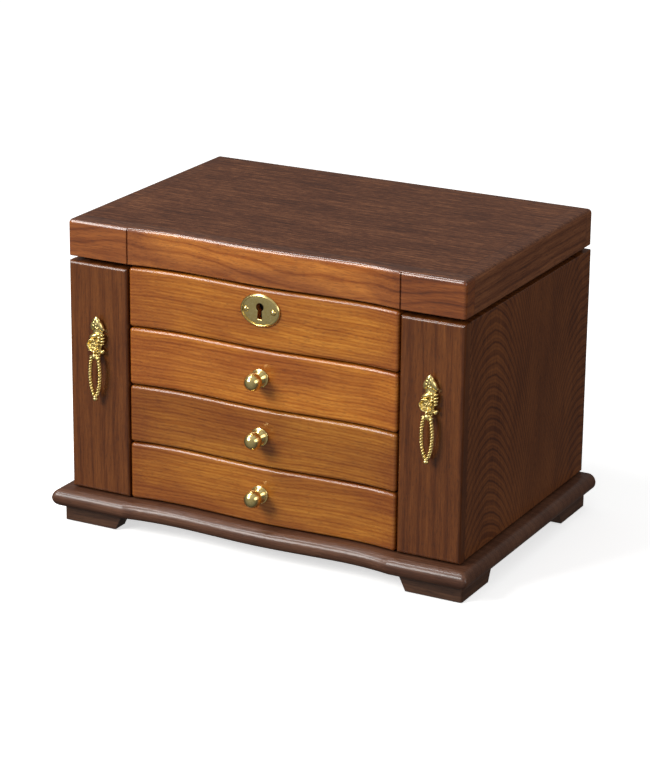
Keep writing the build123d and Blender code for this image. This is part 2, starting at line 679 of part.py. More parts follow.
for side, side_name in ((-1, "left"), (1, "right")):
    low_x, high_x = sorted((side * DOOR_INNER_X, side * HALF))
    with BuildPart() as door_front:
        block((low_x, FRONT_Y, FRONT_BOTTOM), (high_x, inside_front, DOOR_TOP))
        back_edge = door_front.edges().filter_by(Axis.Z).sort_by(
            lambda e: side * e.center().X + e.center().Y
        )[-1]
        chamfer(back_edge, JOINT_LINE)
        fillet(door_front.faces().sort_by(Axis.Y)[0].edges(), EDGE_ROUND)
    save(door_front.part, f"door_{side_name}_front")

    low_x, high_x = sorted((side * DOOR_SIDE_INNER, side * HALF))
    with BuildPart() as door_side:
        block((low_x, inside_front, FRONT_BOTTOM), (high_x, BACK_Y, DOOR_TOP))
        outside = door_side.faces().sort_by(Axis.X)[-1 if side > 0 else 0]
        chamfer(outside.edges(), JOINT_LINE * 1.5)
    save(door_side.part, f"door_{side_name}_side")

    with BuildPart() as hooks:
        for y in hook_ys:
            root_x = side * DOOR_SIDE_INNER
            with BuildSketch(Plane((root_x, y, HOOK_Z), x_dir=(-side, 0, 0), z_dir=(0, -side, 0))):
                with BuildLine():
                    Polyline(
                        (0, 0), (0, 4.0), (1.5, 4.0), (3.0, HOOK_RADIUS), (hook_neck, HOOK_RADIUS)
                    )
                    ThreePointArc(
                        (hook_neck, HOOK_RADIUS),
                        (HOOK_LENGTH - HOOK_BALL, HOOK_BALL),
                        (HOOK_LENGTH, 0),
                    )
                    Line((HOOK_LENGTH, 0), (0, 0))
                make_face()
            revolve(axis=Axis((root_x, y, HOOK_Z), (1, 0, 0)))
    save(hooks.part, f"door_{side_name}_hooks")

    near = side * (DOOR_SIDE_INNER - POCKET_REACH)
    low_x, high_x = sorted((near, side * DOOR_SIDE_INNER))
    thin_low, thin_high = sorted((near + side * POCKET_WALL, side * (DOOR_SIDE_INNER + 1)))
    pocket_front = inside_front + 8
    pocket_back = CARCASS_BACK - 6
    with BuildPart() as pocket:
        block((low_x, pocket_front, POCKET_BOTTOM), (high_x, pocket_back, POCKET_TOP))
        block(
            (thin_low, pocket_front + POCKET_WALL, POCKET_BOTTOM + POCKET_WALL),
            (thin_high, pocket_back - POCKET_WALL, POCKET_TOP + 1),
            mode=Mode.SUBTRACT,
        )
    save(pocket.part, f"door_{side_name}_pocket")

    leaves = []
    for z in DOOR_HINGE_Z:
        start = z if side > 0 else z + HINGE_LENGTH
        leaves.append(
            placed(door_leaf, (side * DOOR_HINGE_X, HINGE_Y, start), (side, 0, 0), (0, 0, side))
        )
    save(group(leaves), f"door_{side_name}_hinge_leaves")

    # drop pull: a leaf-shaped boss with a cross pin, and a loop that hangs from the pin
    pull_x = side * PULL_X
    pivot_y = FRONT_Y - PULL_PIVOT_OUT
    boss_bottom = PULL_PIVOT_Z + 3.0
    with BuildPart() as boss:
        with BuildSketch(Plane.XZ.offset(-FRONT_Y)):
            with BuildLine():
                Spline(
                    (pull_x, PULL_TOP),
                    (pull_x + 5.2, PULL_TOP - 8),
                    (pull_x + 6.6, boss_bottom + 9),
                    (pull_x + 3.6, boss_bottom),
                )
                Line((pull_x + 3.6, boss_bottom), (pull_x - 3.6, boss_bottom))
                Spline(
                    (pull_x - 3.6, boss_bottom),
                    (pull_x - 6.6, boss_bottom + 9),
                    (pull_x - 5.2, PULL_TOP - 8),
                    (pull_x, PULL_TOP),
                )
            make_face()
        extrude(amount=4.0)
        for out, bud_z, bud_radius in ((5.0, boss_bottom + 7.5, 4.9), (4.3, PULL_TOP - 9, 4.0)):
            with Locations(Location((pull_x, FRONT_Y - out, bud_z), (90, 0, 0))):
                Sphere(bud_radius)
        for ear in (-1, 1):
            ear_low, ear_high = sorted((pull_x + ear * EAR_INNER, pull_x + ear * EAR_OUTER))
            with BuildSketch(Plane.YZ.offset(ear_low)):
                with BuildLine():
                    Polyline(
                        (pivot_y - EAR_REACH, PULL_PIVOT_Z - EAR_REACH),
                        (pivot_y + EAR_REACH, PULL_PIVOT_Z - EAR_REACH),
                        (pivot_y + EAR_REACH, boss_bottom + 0.6),
                        (FRONT_Y - 1, boss_bottom + 0.6),
                        (FRONT_Y - 1, boss_bottom + 4.2),
                        (pivot_y - EAR_REACH, boss_bottom + 4.2),
                        close=True,
                    )
                make_face()
            extrude(amount=ear_high - ear_low)
        with Locations(Location((pull_x, pivot_y, PULL_PIVOT_Z), (0, 90, 0))):
            Cylinder(PIN_RADIUS, 2 * EAR_OUTER)
    save(boss.part, f"pull_{side_name}_boss")

    strand_top = PULL_PIVOT_Z - EYE_OUTER - STRAND + 1.2
    strand_bottom = LOOP_BOTTOM + FINIAL_RADIUS
    middle_z = (strand_top + strand_bottom) / 2
    with BuildPart() as loop:
        half_length = (strand_top - strand_bottom) / 2
        for turn in (-1, 1):
            with BuildLine(Plane((pull_x, pivot_y, middle_z), x_dir=(1, 0, 0), z_dir=(0, -1, 0))):
                strand_path = ThreePointArc(
                    (turn * 0.2, half_length), (turn * LOOP_HALF, 0), (turn * 0.2, -half_length)
                )
            with BuildSketch(Plane(strand_path @ 0, z_dir=strand_path % 0)):
                Circle(STRAND)
            sweep(path=strand_path)
        with Locations(Location((pull_x, pivot_y, PULL_PIVOT_Z), (0, 90, 0))):
            Cylinder(EYE_OUTER, 2 * EYE_HALF_WIDTH)
        with Locations((pull_x, pivot_y, strand_bottom)):
            Sphere(FINIAL_RADIUS)
        with Locations(Location((pull_x, pivot_y, PULL_PIVOT_Z), (0, 90, 0))):
            Cylinder(PIN_RADIUS + PIN_CLEARANCE, 12, mode=Mode.SUBTRACT)
    save(loop.part, f"pull_{side_name}_loop")

# ---- drawers ------------------------------------------------------------------------------------
box_half = PARTITION_INNER - DRAWER_SIDE_GAP
box_front = FRONT_Y + FRONT_THICKNESS
box_back = CARCASS_BACK - 5.0
floors = [BASE_TOP, shelf_mid[0] + SHELF_THICKNESS / 2, shelf_mid[1] + SHELF_THICKNESS / 2]
roofs = [middle - SHELF_THICKNESS / 2 for middle in shelf_mid]

for level in range(3):
    number = 3 - level  # drawer_1 is the top one
    front_low = FRONT_BOTTOM + level * FRONT_PITCH
    knob_z = front_low + FRONT_HEIGHT / 2 + KNOB_RISE
    save(wavy_front(front_low, FRONT_HEIGHT, box_front), f"drawer_{number}_front")

    low = floors[level] + PLAY
    high = roofs[level] - DRAWER_TOP_GAP
    inner = box_half - DRAWER_WALL
    with BuildPart() as box:
        for side in (-1, 1):
            near, far = sorted((side * inner, side * box_half))
            block((near, box_front, low), (far, box_back, high))
        block((-inner + GLUE, box_back - DRAWER_WALL, low), (inner - GLUE, box_back, high))
        block(
            (-inner + GLUE, box_front, low),
            (inner - GLUE, box_back - DRAWER_WALL - GLUE, low + DRAWER_BOTTOM_THICKNESS),
        )
        divider_low = low + DRAWER_BOTTOM_THICKNESS + LINING + 2 * GLUE
        block((-2, box_front, divider_low), (2, box_back - DRAWER_WALL - GLUE, high - 6))
    save(box.part, f"drawer_{number}_box")

    with BuildPart() as lining:
        lining_low = low + DRAWER_BOTTOM_THICKNESS
        block(
            (-inner + 0.5, box_front + 0.5, lining_low),
            (inner - 0.5, box_back - DRAWER_WALL - 0.5, lining_low + LINING),
        )
    save(lining.part, f"drawer_{number}_lining")

    with BuildPart() as knob:
        with BuildSketch(Plane.XY.offset(knob_z)):
            with BuildLine():
                tip = SEAT_Y - KNOB_REACH
                neck_y = tip + KNOB_BALL + (KNOB_BALL**2 - KNOB_NECK**2) ** 0.5
                Polyline(
                    (0, tip),
                    (0, SEAT_Y),
                    (KNOB_BASE, SEAT_Y),
                    (KNOB_BASE, SEAT_Y - 1.4),
                    (KNOB_STEP, SEAT_Y - 2.0),
                    (KNOB_STEP, SEAT_Y - 2.8),
                    (KNOB_NECK + 1, SEAT_Y - 3.6),
                    (KNOB_NECK, SEAT_Y - 4.8),
                    (KNOB_NECK, neck_y),
                )
                ThreePointArc((KNOB_NECK, neck_y), (KNOB_BALL, tip + KNOB_BALL), (0, tip))
            make_face()
        revolve(axis=Axis((0, 0, knob_z), (0, 1, 0)))
    save(knob.part, f"drawer_{number}_knob")
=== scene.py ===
"""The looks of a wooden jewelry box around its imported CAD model.

Blender and the frame work in metres. Lengths in this file are millimetres, and MM turns them into
metres, except for the camera, the lights and the floor, which are given in metres.
"""
import json
from math import cos, pi, radians, sin

import bmesh
import bpy
from mathutils import Matrix, Vector, noise


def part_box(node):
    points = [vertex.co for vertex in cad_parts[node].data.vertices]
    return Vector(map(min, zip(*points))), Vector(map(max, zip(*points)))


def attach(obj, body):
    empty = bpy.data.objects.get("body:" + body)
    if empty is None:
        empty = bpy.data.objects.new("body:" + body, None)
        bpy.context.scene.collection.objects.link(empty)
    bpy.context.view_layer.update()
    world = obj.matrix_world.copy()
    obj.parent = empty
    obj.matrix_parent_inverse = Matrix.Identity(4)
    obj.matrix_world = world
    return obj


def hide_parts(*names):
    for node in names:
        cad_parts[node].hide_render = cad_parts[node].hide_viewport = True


MM = 0.001

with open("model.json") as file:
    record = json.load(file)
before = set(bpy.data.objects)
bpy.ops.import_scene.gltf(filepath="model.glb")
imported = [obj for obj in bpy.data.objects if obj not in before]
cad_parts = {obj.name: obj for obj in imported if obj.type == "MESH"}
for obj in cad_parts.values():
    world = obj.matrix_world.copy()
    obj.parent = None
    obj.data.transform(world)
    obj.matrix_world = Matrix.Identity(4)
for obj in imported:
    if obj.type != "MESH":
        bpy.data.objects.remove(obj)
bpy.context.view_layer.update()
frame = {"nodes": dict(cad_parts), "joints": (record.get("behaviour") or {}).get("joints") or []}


# ---- places read from the frame ------------------------------------------------------------------
def low(node):
    """A CAD node's lowest corner, in millimetres."""
    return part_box(node)[0] / MM


def high(node):
    """A CAD node's highest corner, in millimetres."""
    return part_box(node)[1] / MM


def middle(node):
    """The middle of a CAD node's box, in millimetres."""
    return (low(node) + high(node)) / 2


SIDES = (("left", -1), ("right", 1))
DRAWERS = (1, 2, 3)


# ---- camera --------------------------------------------------------------------------------------
LENS = 134.1
VIEW_AZIMUTH = radians(27.76)
VIEW_ELEVATION = radians(18.61)
VIEW_ROLL = radians(0.64)
VIEW_DISTANCE = 2.2485
VIEW_SHIFT_RIGHT = 0.0049
VIEW_SHIFT_UP = 0.0078
VIEW_HEIGHT = 0.120
CLIP_END = 50


def add_camera():
    """The camera at the photograph's viewing angle."""
    body_middle = (low("door_left_front").y + high("back_panel").y) / 2
    target = Vector((middle("base_plate").x * MM, body_middle * MM, VIEW_HEIGHT))
    flat = cos(VIEW_ELEVATION)
    back = Vector((sin(VIEW_AZIMUTH) * flat, -cos(VIEW_AZIMUTH) * flat, sin(VIEW_ELEVATION)))
    right = (-back).cross(Vector((0, 0, 1))).normalized()
    up = right.cross(-back)
    rolled_right = cos(VIEW_ROLL) * right + sin(VIEW_ROLL) * up
    rolled_up = -sin(VIEW_ROLL) * right + cos(VIEW_ROLL) * up
    place = target - rolled_right * VIEW_SHIFT_RIGHT - rolled_up * VIEW_SHIFT_UP
    place += back * VIEW_DISTANCE
    data = bpy.data.cameras.new("camera")
    data.lens = LENS
    data.clip_end = CLIP_END
    camera = bpy.data.objects.new("camera", data)
    bpy.context.scene.collection.objects.link(camera)
    turn = Matrix((rolled_right, rolled_up, back)).transposed().to_4x4()
    camera.matrix_world = Matrix.Translation(place) @ turn
    bpy.context.scene.camera = camera


# ---- nodes of a material -------------------------------------------------------------------------
def tone(red, green, blue):
    """A colour given as on a screen, 0 to 255, turned into light."""
    def light(value):
        value /= 255
        return value / 12.92 if value <= 0.04045 else ((value + 0.055) / 1.055) ** 2.4

    return (light(red), light(green), light(blue), 1.0)


def dimmed(colour, share):
    """A colour made darker by a share under 1, or brighter by one over 1."""
    return tuple(min(1.0, part * share) for part in colour[:3]) + (1.0,)


class Graph:
    """A material and its nodes."""

    def __init__(self, name):
        self.material = bpy.data.materials.new(name)
        self.material.use_nodes = True
        self.tree = self.material.node_tree
        self.shader = next(n for n in self.tree.nodes if n.type == "BSDF_PRINCIPLED")

    def plug(self, socket, value):
        if isinstance(value, bpy.types.NodeSocket):
            self.tree.links.new(value, socket)
        else:
            socket.default_value = value

    def node(self, kind, settings=None, **inputs):
        made = self.tree.nodes.new("ShaderNode" + kind)
        for key, value in (settings or {}).items():
            setattr(made, key, value)
        for key, value in inputs.items():
            self.plug(made.inputs[key.replace("_", " ")], value)
        return made

    def math(self, operation, first, second=0.0, third=0.0):
        made = self.node("Math", {"operation": operation})
        for socket, value in zip(made.inputs, (first, second, third)):
            self.plug(socket, value)
        return made.outputs[0]

    def scaled(self, vector, scale, shift=(0, 0, 0)):
        made = self.node("Mapping", Vector=vector, Scale=scale, Location=shift)
        return made.outputs[0]

    def noise(self, vector, detail=2.0, rough=0.5, distortion=0.0):
        made = self.node(
            "TexNoise", Vector=vector, Scale=1.0, Detail=detail, Roughness=rough, Distortion=distortion
        )
        return made.outputs[0]

    def ramp(self, value, stops, easing="LINEAR"):
        """Stops are (place, colour or grey)."""
        made = self.node("ValToRGB", Fac=value)
        made.color_ramp.interpolation = easing
        line = made.color_ramp.elements
        while len(line) < len(stops):
            line.new(0.5)
        for element, (place, colour) in zip(line, stops):
            element.position = place
            element.color = colour if hasattr(colour, "__len__") else (colour, colour, colour, 1)
        return made.outputs[0]

    def mix(self, share, first, second, blend="MIX"):
        made = self.node("Mix", {"data_type": "RGBA", "blend_type": blend})
        for index, value in ((0, share), (6, first), (7, second)):
            self.plug(made.inputs[index], value)
        return made.outputs[2]

    def bump(self, height, distance, strength=1.0, normal=None):
        made = self.node("Bump", Height=height, Distance=distance, Strength=strength)
        if normal is not None:
            self.plug(made.inputs["Normal"], normal)
        return made.outputs[0]

    def set(self, **values):
        for key, value in values.items():
            self.plug(self.shader.inputs[key.replace("_", " ")], value)


COVER_SHIFT = (3.0, 5.1, 1.8)  # the same on every piece of the lid, so that its top shows no seams
THIN_LINES = 2.7  # thin lines for each growth line
STRAND_WEIGHT, HAIR_WEIGHT, CLOUD_WEIGHT = 3.0, 1.2, 2.2
END_STAIN = 0.22  # how much more the ends of a board are stained
END_STAIN_POWER = 5.0
PORE_DARKNESS = 0.42
EDGE_DARKNESS = 0.55
EDGE_REACH = 1.1  # width of the darker line of painted shade along edges
GRAIN_RELIEF = 0.06


def wood(
    name,
    tones,
    axes,
    seed=0.0,
    pitch=5.6,
    rings=0.5,
    warp=10.0,
    ripple=1.6,
    fibre=0.3,
    blotch=0.3,
    pores=0.35,
    peaks=None,
    arch=0.018,
    cover=None,
    stain=None,
    lines=0.35,
    shade=1.0,
    gloss=0.3,
    coat=0.6,
):
    """Lacquered wood. axes names the axis along the grain, then the one across it, then the third.

    peaks are the places across the grain where the growth lines arch up; cover is the tones of the
    faces that look up; stain is the tones of darker patches; lines is how strong the thin lines between
    the growth lines are; shade darkens the whole piece.
    """
    g = Graph(name)
    place = g.node("TexCoord")
    apart = g.node("SeparateXYZ", Vector=place.outputs["Object"])
    along, across, third = (g.math("MULTIPLY", apart.outputs[axis], 1 / MM) for axis in axes)
    together = g.node("CombineXYZ", X=along, Y=across, Z=third).outputs[0]
    shift = (seed, seed * 1.7, seed * 0.6)

    def grained(length, width, *shape, depth=None):
        """Noise with spots of a length along the grain, a width across it and a depth."""
        return g.noise(g.scaled(together, (1 / length, 1 / width, 1 / (depth or width)), shift), *shape)

    broad = grained(150, 70)
    small = grained(34, 11)
    level = across if peaks is None else along
    if peaks is not None:
        reach = None
        for peak in peaks:
            away = g.math("ABSOLUTE", g.math("SUBTRACT", across, peak))
            reach = away if reach is None else g.math("MINIMUM", reach, away)
        bow = g.math("MULTIPLY", g.math("MULTIPLY", reach, reach), arch)
        level = g.math("ADD", along, bow)
    moved = g.math("MULTIPLY_ADD", broad, warp, level)
    moved = g.math("MULTIPLY_ADD", small, ripple, moved)
    phase = g.math("DIVIDE", moved, pitch)
    ring = g.ramp(
        g.math("FRACT", phase), [(0, 0.15), (0.12, 0.5), (0.55, 1.0), (0.86, 0.55), (1.0, 0.15)], "B_SPLINE"
    )
    thin = g.ramp(
        g.math("FRACT", g.math("MULTIPLY", phase, THIN_LINES)), [(0, 0.3), (0.5, 1.0), (1.0, 0.3)], "B_SPLINE"
    )
    strand = grained(26, 1.1, 4.0, 0.65)
    hair = grained(9, 0.42, 2.0, 0.6)
    cloud = grained(95, 30, 3.0, 0.6)

    def share(value, weight):
        """A value from 0 to 1 as a push down or up."""
        return g.math("MULTIPLY", g.math("SUBTRACT", value, 0.5), weight)

    value = g.math("ADD", share(ring, rings), share(thin, lines))
    value = g.math("ADD", value, share(strand, fibre * STRAND_WEIGHT))
    value = g.math("ADD", value, share(hair, fibre * HAIR_WEIGHT))
    value = g.math("ADD", value, share(cloud, blotch * CLOUD_WEIGHT))
    value = g.math("ADD", value, 0.5)
    colour = g.ramp(value, [(0.0, tones[0]), (0.45, tones[1]), (1.0, tones[2])])
    if stain is not None:
        patch = grained(120, 34, 3.0, 0.55, 0.6, depth=60)
        ends = g.math("MULTIPLY", g.math("ABSOLUTE", along), 1 / STAIN_REACH)
        patch = g.math("MULTIPLY_ADD", g.math("POWER", ends, END_STAIN_POWER), END_STAIN, patch)
        stained = g.ramp(value, [(0.0, stain[0]), (0.45, stain[1]), (1.0, stain[2])])
        colour = g.mix(g.ramp(patch, [(0.36, 0.0), (0.68, 0.95)]), colour, stained)
    colour = g.mix(1.0, colour, (shade, shade, shade, 1.0), "MULTIPLY")

    pore = g.ramp(grained(5.5, 0.5, 1.0, 0.5), [(0.0, 0.0), (0.55, 0.0), (0.68, 1.0)])
    colour = g.mix(g.math("MULTIPLY", pore, pores), colour, dimmed(tones[0], PORE_DARKNESS))

    if cover is not None:
        facing = g.node("SeparateXYZ", Vector=place.outputs["Normal"]).outputs["Z"]
        top = g.ramp(facing, [(0.0, 0.0), (0.35, 0.0), (0.8, 1.0)])
        lid = g.scaled(place.outputs["Object"], (1 / MM, 1 / MM, 1 / MM))
        flecks = g.noise(g.scaled(lid, (1 / 40, 1 / 1.8, 1 / 1.8), COVER_SHIFT), 4.0, 0.7)
        fine = g.noise(g.scaled(lid, (1 / 6, 1 / 1.2, 1 / 1.2), COVER_SHIFT), 2.0, 0.7)
        drift = g.noise(g.scaled(lid, (1 / 95, 1 / 30, 1 / 30), COVER_SHIFT), 3.0, 0.6)
        flecks = g.math("ADD", share(flecks, 1.9), share(fine, 1.2))
        flecks = g.math("ADD", flecks, share(drift, 0.5))
        flecks = g.math("ADD", flecks, 0.5)
        colour = g.mix(top, colour, g.ramp(flecks, [(0, cover[0]), (0.5, cover[1]), (1, cover[2])]))

    # painted shade: every edge darker in a band EDGE_REACH wide, in patches, for the shade on rounded edges and
    # in the gaps between parts
    edge = g.node("Bevel", {"samples": 4}, Radius=EDGE_REACH * MM).outputs[0]
    geometry = g.node("NewGeometry")
    turned = g.node("VectorMath", {"operation": "DOT_PRODUCT"})
    g.plug(turned.inputs[0], edge)
    g.plug(turned.inputs[1], geometry.outputs["Normal"])
    edge_shade = g.ramp(turned.outputs["Value"], [(0.0, 1.0), (0.9, 0.8), (0.985, 0.0)])
    edge_shade = g.math("MULTIPLY", edge_shade, g.ramp(cloud, [(0.3, 0.45), (0.7, 0.8)]))
    colour = g.mix(edge_shade, colour, dimmed(tones[0], EDGE_DARKNESS))

    g.set(Base_Color=colour)
    rough = g.math("MULTIPLY_ADD", strand, 0.12, gloss)
    rough = g.math("MULTIPLY_ADD", pore, 0.12, rough)
    g.set(Roughness=rough, Coat_Weight=coat, Coat_Roughness=0.09, Coat_IOR=1.5, Specular_IOR_Level=0.35)
    relief = g.math("SUBTRACT", g.math("MULTIPLY", strand, 0.5), g.math("MULTIPLY", pore, 0.6))
    g.set(Normal=g.bump(relief, GRAIN_RELIEF * MM, 0.55))
    return g.material


BRASS_DEEP = (0.80, 0.60, 0.20, 1)
BRASS_PALE = (0.95, 0.78, 0.36, 1)
TARNISH = (0.16, 0.09, 0.02, 1)


def brass(name, polish=0.2, tarnish=0.6, hollow_reach=2.2):
    """Cast or spun brass of a roughness, with tarnish in the hollows that are up to a reach wide."""
    g = Graph(name)
    place = g.node("TexCoord").outputs["Object"]
    mottled = g.noise(g.scaled(place, (900, 900, 900)), 3.0, 0.6)
    rubbed = g.noise(g.scaled(place, (6000, 900, 2500)), 2.0, 0.5)
    colour = g.ramp(mottled, [(0.3, BRASS_DEEP), (0.7, BRASS_PALE)])
    hollow = g.node("AmbientOcclusion", {"samples": 6}, Distance=hollow_reach * MM).outputs["AO"]
    hollow = g.ramp(hollow, [(0.25, 1.0), (0.8, 0.0)])
    colour = g.mix(g.math("MULTIPLY", hollow, tarnish), colour, TARNISH)
    g.set(Base_Color=colour, Metallic=1.0)
    rough = g.math("MULTIPLY_ADD", rubbed, 0.09, polish - 0.04)
    g.set(Roughness=g.math("MULTIPLY_ADD", hollow, 0.25, rough))
    g.set(Normal=g.bump(rubbed, 0.02 * MM, 0.35))
    return g.material


def velvet(name, colour, pile=0.16):
    """Short-pile velvet, brushed lighter and darker in patches."""
    g = Graph(name)
    place = g.node("TexCoord").outputs["Object"]
    brushed = g.noise(g.scaled(place, (38, 38, 38)), 3.0, 0.6, 0.6)
    tuft = g.noise(g.scaled(place, (2600, 2600, 2600)), 2.0, 0.6)
    shade = g.math("ADD", g.math("MULTIPLY", brushed, 0.75), g.math("MULTIPLY", tuft, 0.25))
    tints = [(0.3, dimmed(colour, 0.55)), (0.5, colour), (0.7, dimmed(colour, 1.25))]
    g.set(Base_Color=g.ramp(shade, tints), Roughness=0.95)
    g.set(Sheen_Weight=0.8, Sheen_Roughness=0.4, Specular_IOR_Level=0.15)
    g.set(Sheen_Tint=tuple(min(1, part * 1.3 + 0.1) for part in colour[:3]) + (1.0,))
    g.set(Normal=g.bump(tuft, pile * MM, 0.6))
    return g.material


def mirror_silver():
    """A silvered glass face with a faint haze."""
    g = Graph("mirror_silver")
    place = g.node("TexCoord").outputs["Object"]
    haze = g.noise(g.scaled(place, (30, 30, 30)), 3.0, 0.6)
    g.set(Base_Color=g.ramp(haze, [(0.3, (0.86, 0.88, 0.88, 1)), (0.7, (0.93, 0.94, 0.94, 1))]))
    g.set(Metallic=1.0, Roughness=g.math("MULTIPLY_ADD", haze, 0.02, 0.01))
    return g.material


def steel(name, dark, light):
    """Steel brushed along one direction; dark and light are its greys."""
    g = Graph(name)
    place = g.node("TexCoord").outputs["Object"]
    lines = g.noise(g.scaled(place, (300, 5000, 5000)), 3.0, 0.6)
    g.set(Base_Color=g.ramp(lines, [(0.3, (dark, dark, dark, 1)), (0.7, (light, light, light, 1))]))
    g.set(Metallic=1.0, Roughness=g.math("MULTIPLY_ADD", lines, 0.2, 0.22))
    g.set(Normal=g.bump(lines, 0.03 * MM, 0.4))
    return g.material


# ---- meshes --------------------------------------------------------------------------------------
def piece(name, work, material, body, smooth=True, sharp=None):
    """A finished mesh from a bmesh in millimetres, riding on a body."""
    bmesh.ops.recalc_face_normals(work, faces=work.faces)
    for vertex in work.verts:
        vertex.co *= MM
    mesh = bpy.data.meshes.new(name)
    work.to_mesh(mesh)
    work.free()
    for polygon in mesh.polygons:
        polygon.use_smooth = smooth
    if sharp is not None:
        mesh.set_sharp_from_angle(angle=radians(sharp))
    mesh.materials.append(material)
    made = bpy.data.objects.new(name, mesh)
    bpy.context.scene.collection.objects.link(made)
    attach(made, body)
    return made


def modify(target, kind, **settings):
    """Adds a modifier and applies it."""
    modifier = target.modifiers.new(kind.lower(), kind)
    for key, value in settings.items():
        setattr(modifier, key, value)
    bpy.context.view_layer.update()
    graph = bpy.context.evaluated_depsgraph_get()
    made = bpy.data.meshes.new_from_object(target.evaluated_get(graph))
    target.modifiers.clear()
    materials = list(target.data.materials)
    target.data = made
    target.data.materials.clear()
    for material in materials:
        target.data.materials.append(material)
    for polygon in made.polygons:
        polygon.use_smooth = True
    return target


def rings(work, loops, close_start=True, close_end=True):
    """Joins rings of the same number of points with faces."""
    made = [[work.verts.new(point) for point in loop] for loop in loops]
    for first, second in zip(made, made[1:]):
        for i in range(len(first)):
            j = (i + 1) % len(first)
            work.faces.new((first[i], first[j], second[j], second[i]))
    for wanted, loop in ((close_start, made[0]), (close_end, made[-1])):
        if wanted:
            centre = sum((v.co for v in loop), Vector()) / len(loop)
            hub = work.verts.new(centre)
            for i in range(len(loop)):
                work.faces.new((loop[i], loop[(i + 1) % len(loop)], hub))
    return made


def arc(centre, radius, start, end, count):
    """Points (radius, height) on an arc, with angles in degrees."""
    steps = [radians(start + (end - start) * i / (count - 1)) for i in range(count)]
    return [(centre[0] + radius * cos(a), centre[1] + radius * sin(a)) for a in steps]


def spun(profile, seat, outward, segments=96):
    """Rings of a profile of (radius, height) turned about the line from seat along outward."""
    outward = Vector(outward).normalized()
    across = outward.orthogonal().normalized()
    other = outward.cross(across)
    loops = []
    for radius, height in profile:
        centre = Vector(seat) + outward * height
        angles = [2 * pi * i / segments for i in range(segments)]
        loops.append([centre + (across * cos(a) + other * sin(a)) * radius for a in angles])
    return loops


def blob(work, centre, size, turn=(0, 0, 0), detail=3, pinch=0.0):
    """An egg-shaped lump; pinch makes its top narrower. turn is in degrees."""
    made = bmesh.ops.create_icosphere(work, subdivisions=detail, radius=1.0)["verts"]
    turning = Matrix.Rotation(radians(turn[2]), 3, "Z") @ Matrix.Rotation(radians(turn[1]), 3, "Y")
    turning = turning @ Matrix.Rotation(radians(turn[0]), 3, "X")
    for vertex in made:
        x, y, z = vertex.co
        narrow = 1 - pinch * max(0.0, z) ** 1.3
        scaled = Vector((x * size[0] * narrow, y * size[1] * narrow, z * size[2]))
        vertex.co = Vector(centre) + turning @ scaled


# ---- brass fittings ------------------------------------------------------------------------------
KNOB_BALL = 7.1
POLE = 0.05  # the radius where a spun shape closes on its axis


def knob_profile(reach, widest):
    """A ball on a waisted neck, a stepped foot and a rounded base ring."""
    sphere = arc((0.0, reach - KNOB_BALL), KNOB_BALL, -57, 90, 34)
    sphere[-1] = (POLE, reach)
    foot = [(0.4, 0.0), (widest - 0.5, 0.0)]
    foot += arc((widest - 0.55, 0.7), 0.55, -80, 80, 8)
    foot += [(widest - 0.85, 1.35), (widest - 1.0, 1.5)]
    foot += arc((widest - 1.55, 2.0), 0.55, -50, 70, 8)
    foot += [(widest - 1.5, 2.7), (widest - 1.9, 3.3), (4.9, 3.9), (4.45, 4.4), (4.1, 4.9), (3.95, 5.25)]
    return foot + sphere


def add_knob(number, material):
    node = f"drawer_{number}_knob"
    reach = high(node).y - low(node).y
    widest = (high(node).x - low(node).x) / 2
    seat = (middle(node).x, high(node).y, middle(node).z)
    work = bmesh.new()
    rings(work, spun(knob_profile(reach, widest), seat, (0, -1, 0)))
    made = piece(f"drawer_{number}_turned_knob", work, material, f"drawer_{number}")
    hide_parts(node)


KEY_RADIUS = 3.25
KEY_SLOT_TOP = 1.4  # half its width
KEY_SLOT_BOTTOM = 2.2
KEY_SLOT_LENGTH = 9.5  # below the middle of the round part
KEY_RISE = 2.6  # of the round part above the plate's middle
PLATE_SEGMENTS = 240


def keyhole_reach(angle):
    """How far the keyhole's edge is from the middle of its round part."""
    x, z = cos(angle), sin(angle)
    if z >= 0:
        return KEY_RADIUS
    spread = (KEY_SLOT_BOTTOM - KEY_SLOT_TOP) / KEY_SLOT_LENGTH
    lean = abs(x) + spread * z
    floor = KEY_SLOT_LENGTH / -z
    return max(KEY_RADIUS, min(KEY_SLOT_TOP / lean, floor) if lean > 0 else floor)


def add_escutcheon(material):
    """The oval keyhole plate: flat face, groove and rounded rim."""
    node = "escutcheon"
    centre = middle(node)
    half_width = (high(node).x - low(node).x) / 2
    half_height = (high(node).z - low(node).z) / 2
    seat = high(node).y
    key_z = centre.z + KEY_RISE
    proud = seat - low(node).y
    # share of the way out, then height: the rim's from the middle, the face's from the keyhole's edge
    rim = [(1.0, 0.0), (1.0, 0.6), (0.985, 0.95), (0.955, 1.35), (0.92, 1.65), (0.89, 1.78)]
    rim += [(0.875, 1.7), (0.866, 1.3), (0.86, 0.98), (0.845, 0.95), (0.82, 1.02)]
    face = [(0.75, 1.06), (0.5, 1.1), (0.25, 1.1), (0.1, 1.1), (0.03, 1.08), (0.0, 0.98), (0.0, 0.0)]
    tallest = max(height for _, height in rim)
    loops = []
    for inside, shape in ((False, rim), (True, face)):
        for share, height in shape:
            loop = []
            for i in range(PLATE_SEGMENTS):
                angle = 2 * pi * i / PLATE_SEGMENTS
                out = rim[-1][0] if inside else share
                x = centre.x + half_width * out * cos(angle)
                z = centre.z + half_height * out * sin(angle)
                point = Vector((x, 0, z))
                if inside:
                    reach = keyhole_reach(angle)
                    hole = Vector((centre.x + reach * cos(angle), 0, key_z + reach * sin(angle)))
                    point = hole.lerp(point, share)
                point.y = seat - height / tallest * proud
                loop.append(point)
            loops.append(loop)
    loops.append(loops[0])
    work = bmesh.new()
    rings(work, loops, False, False)
    bmesh.ops.remove_doubles(work, verts=work.verts, dist=1e-5)
    made = piece("keyhole_plate", work, material, "case", sharp=50)
    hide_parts(node)


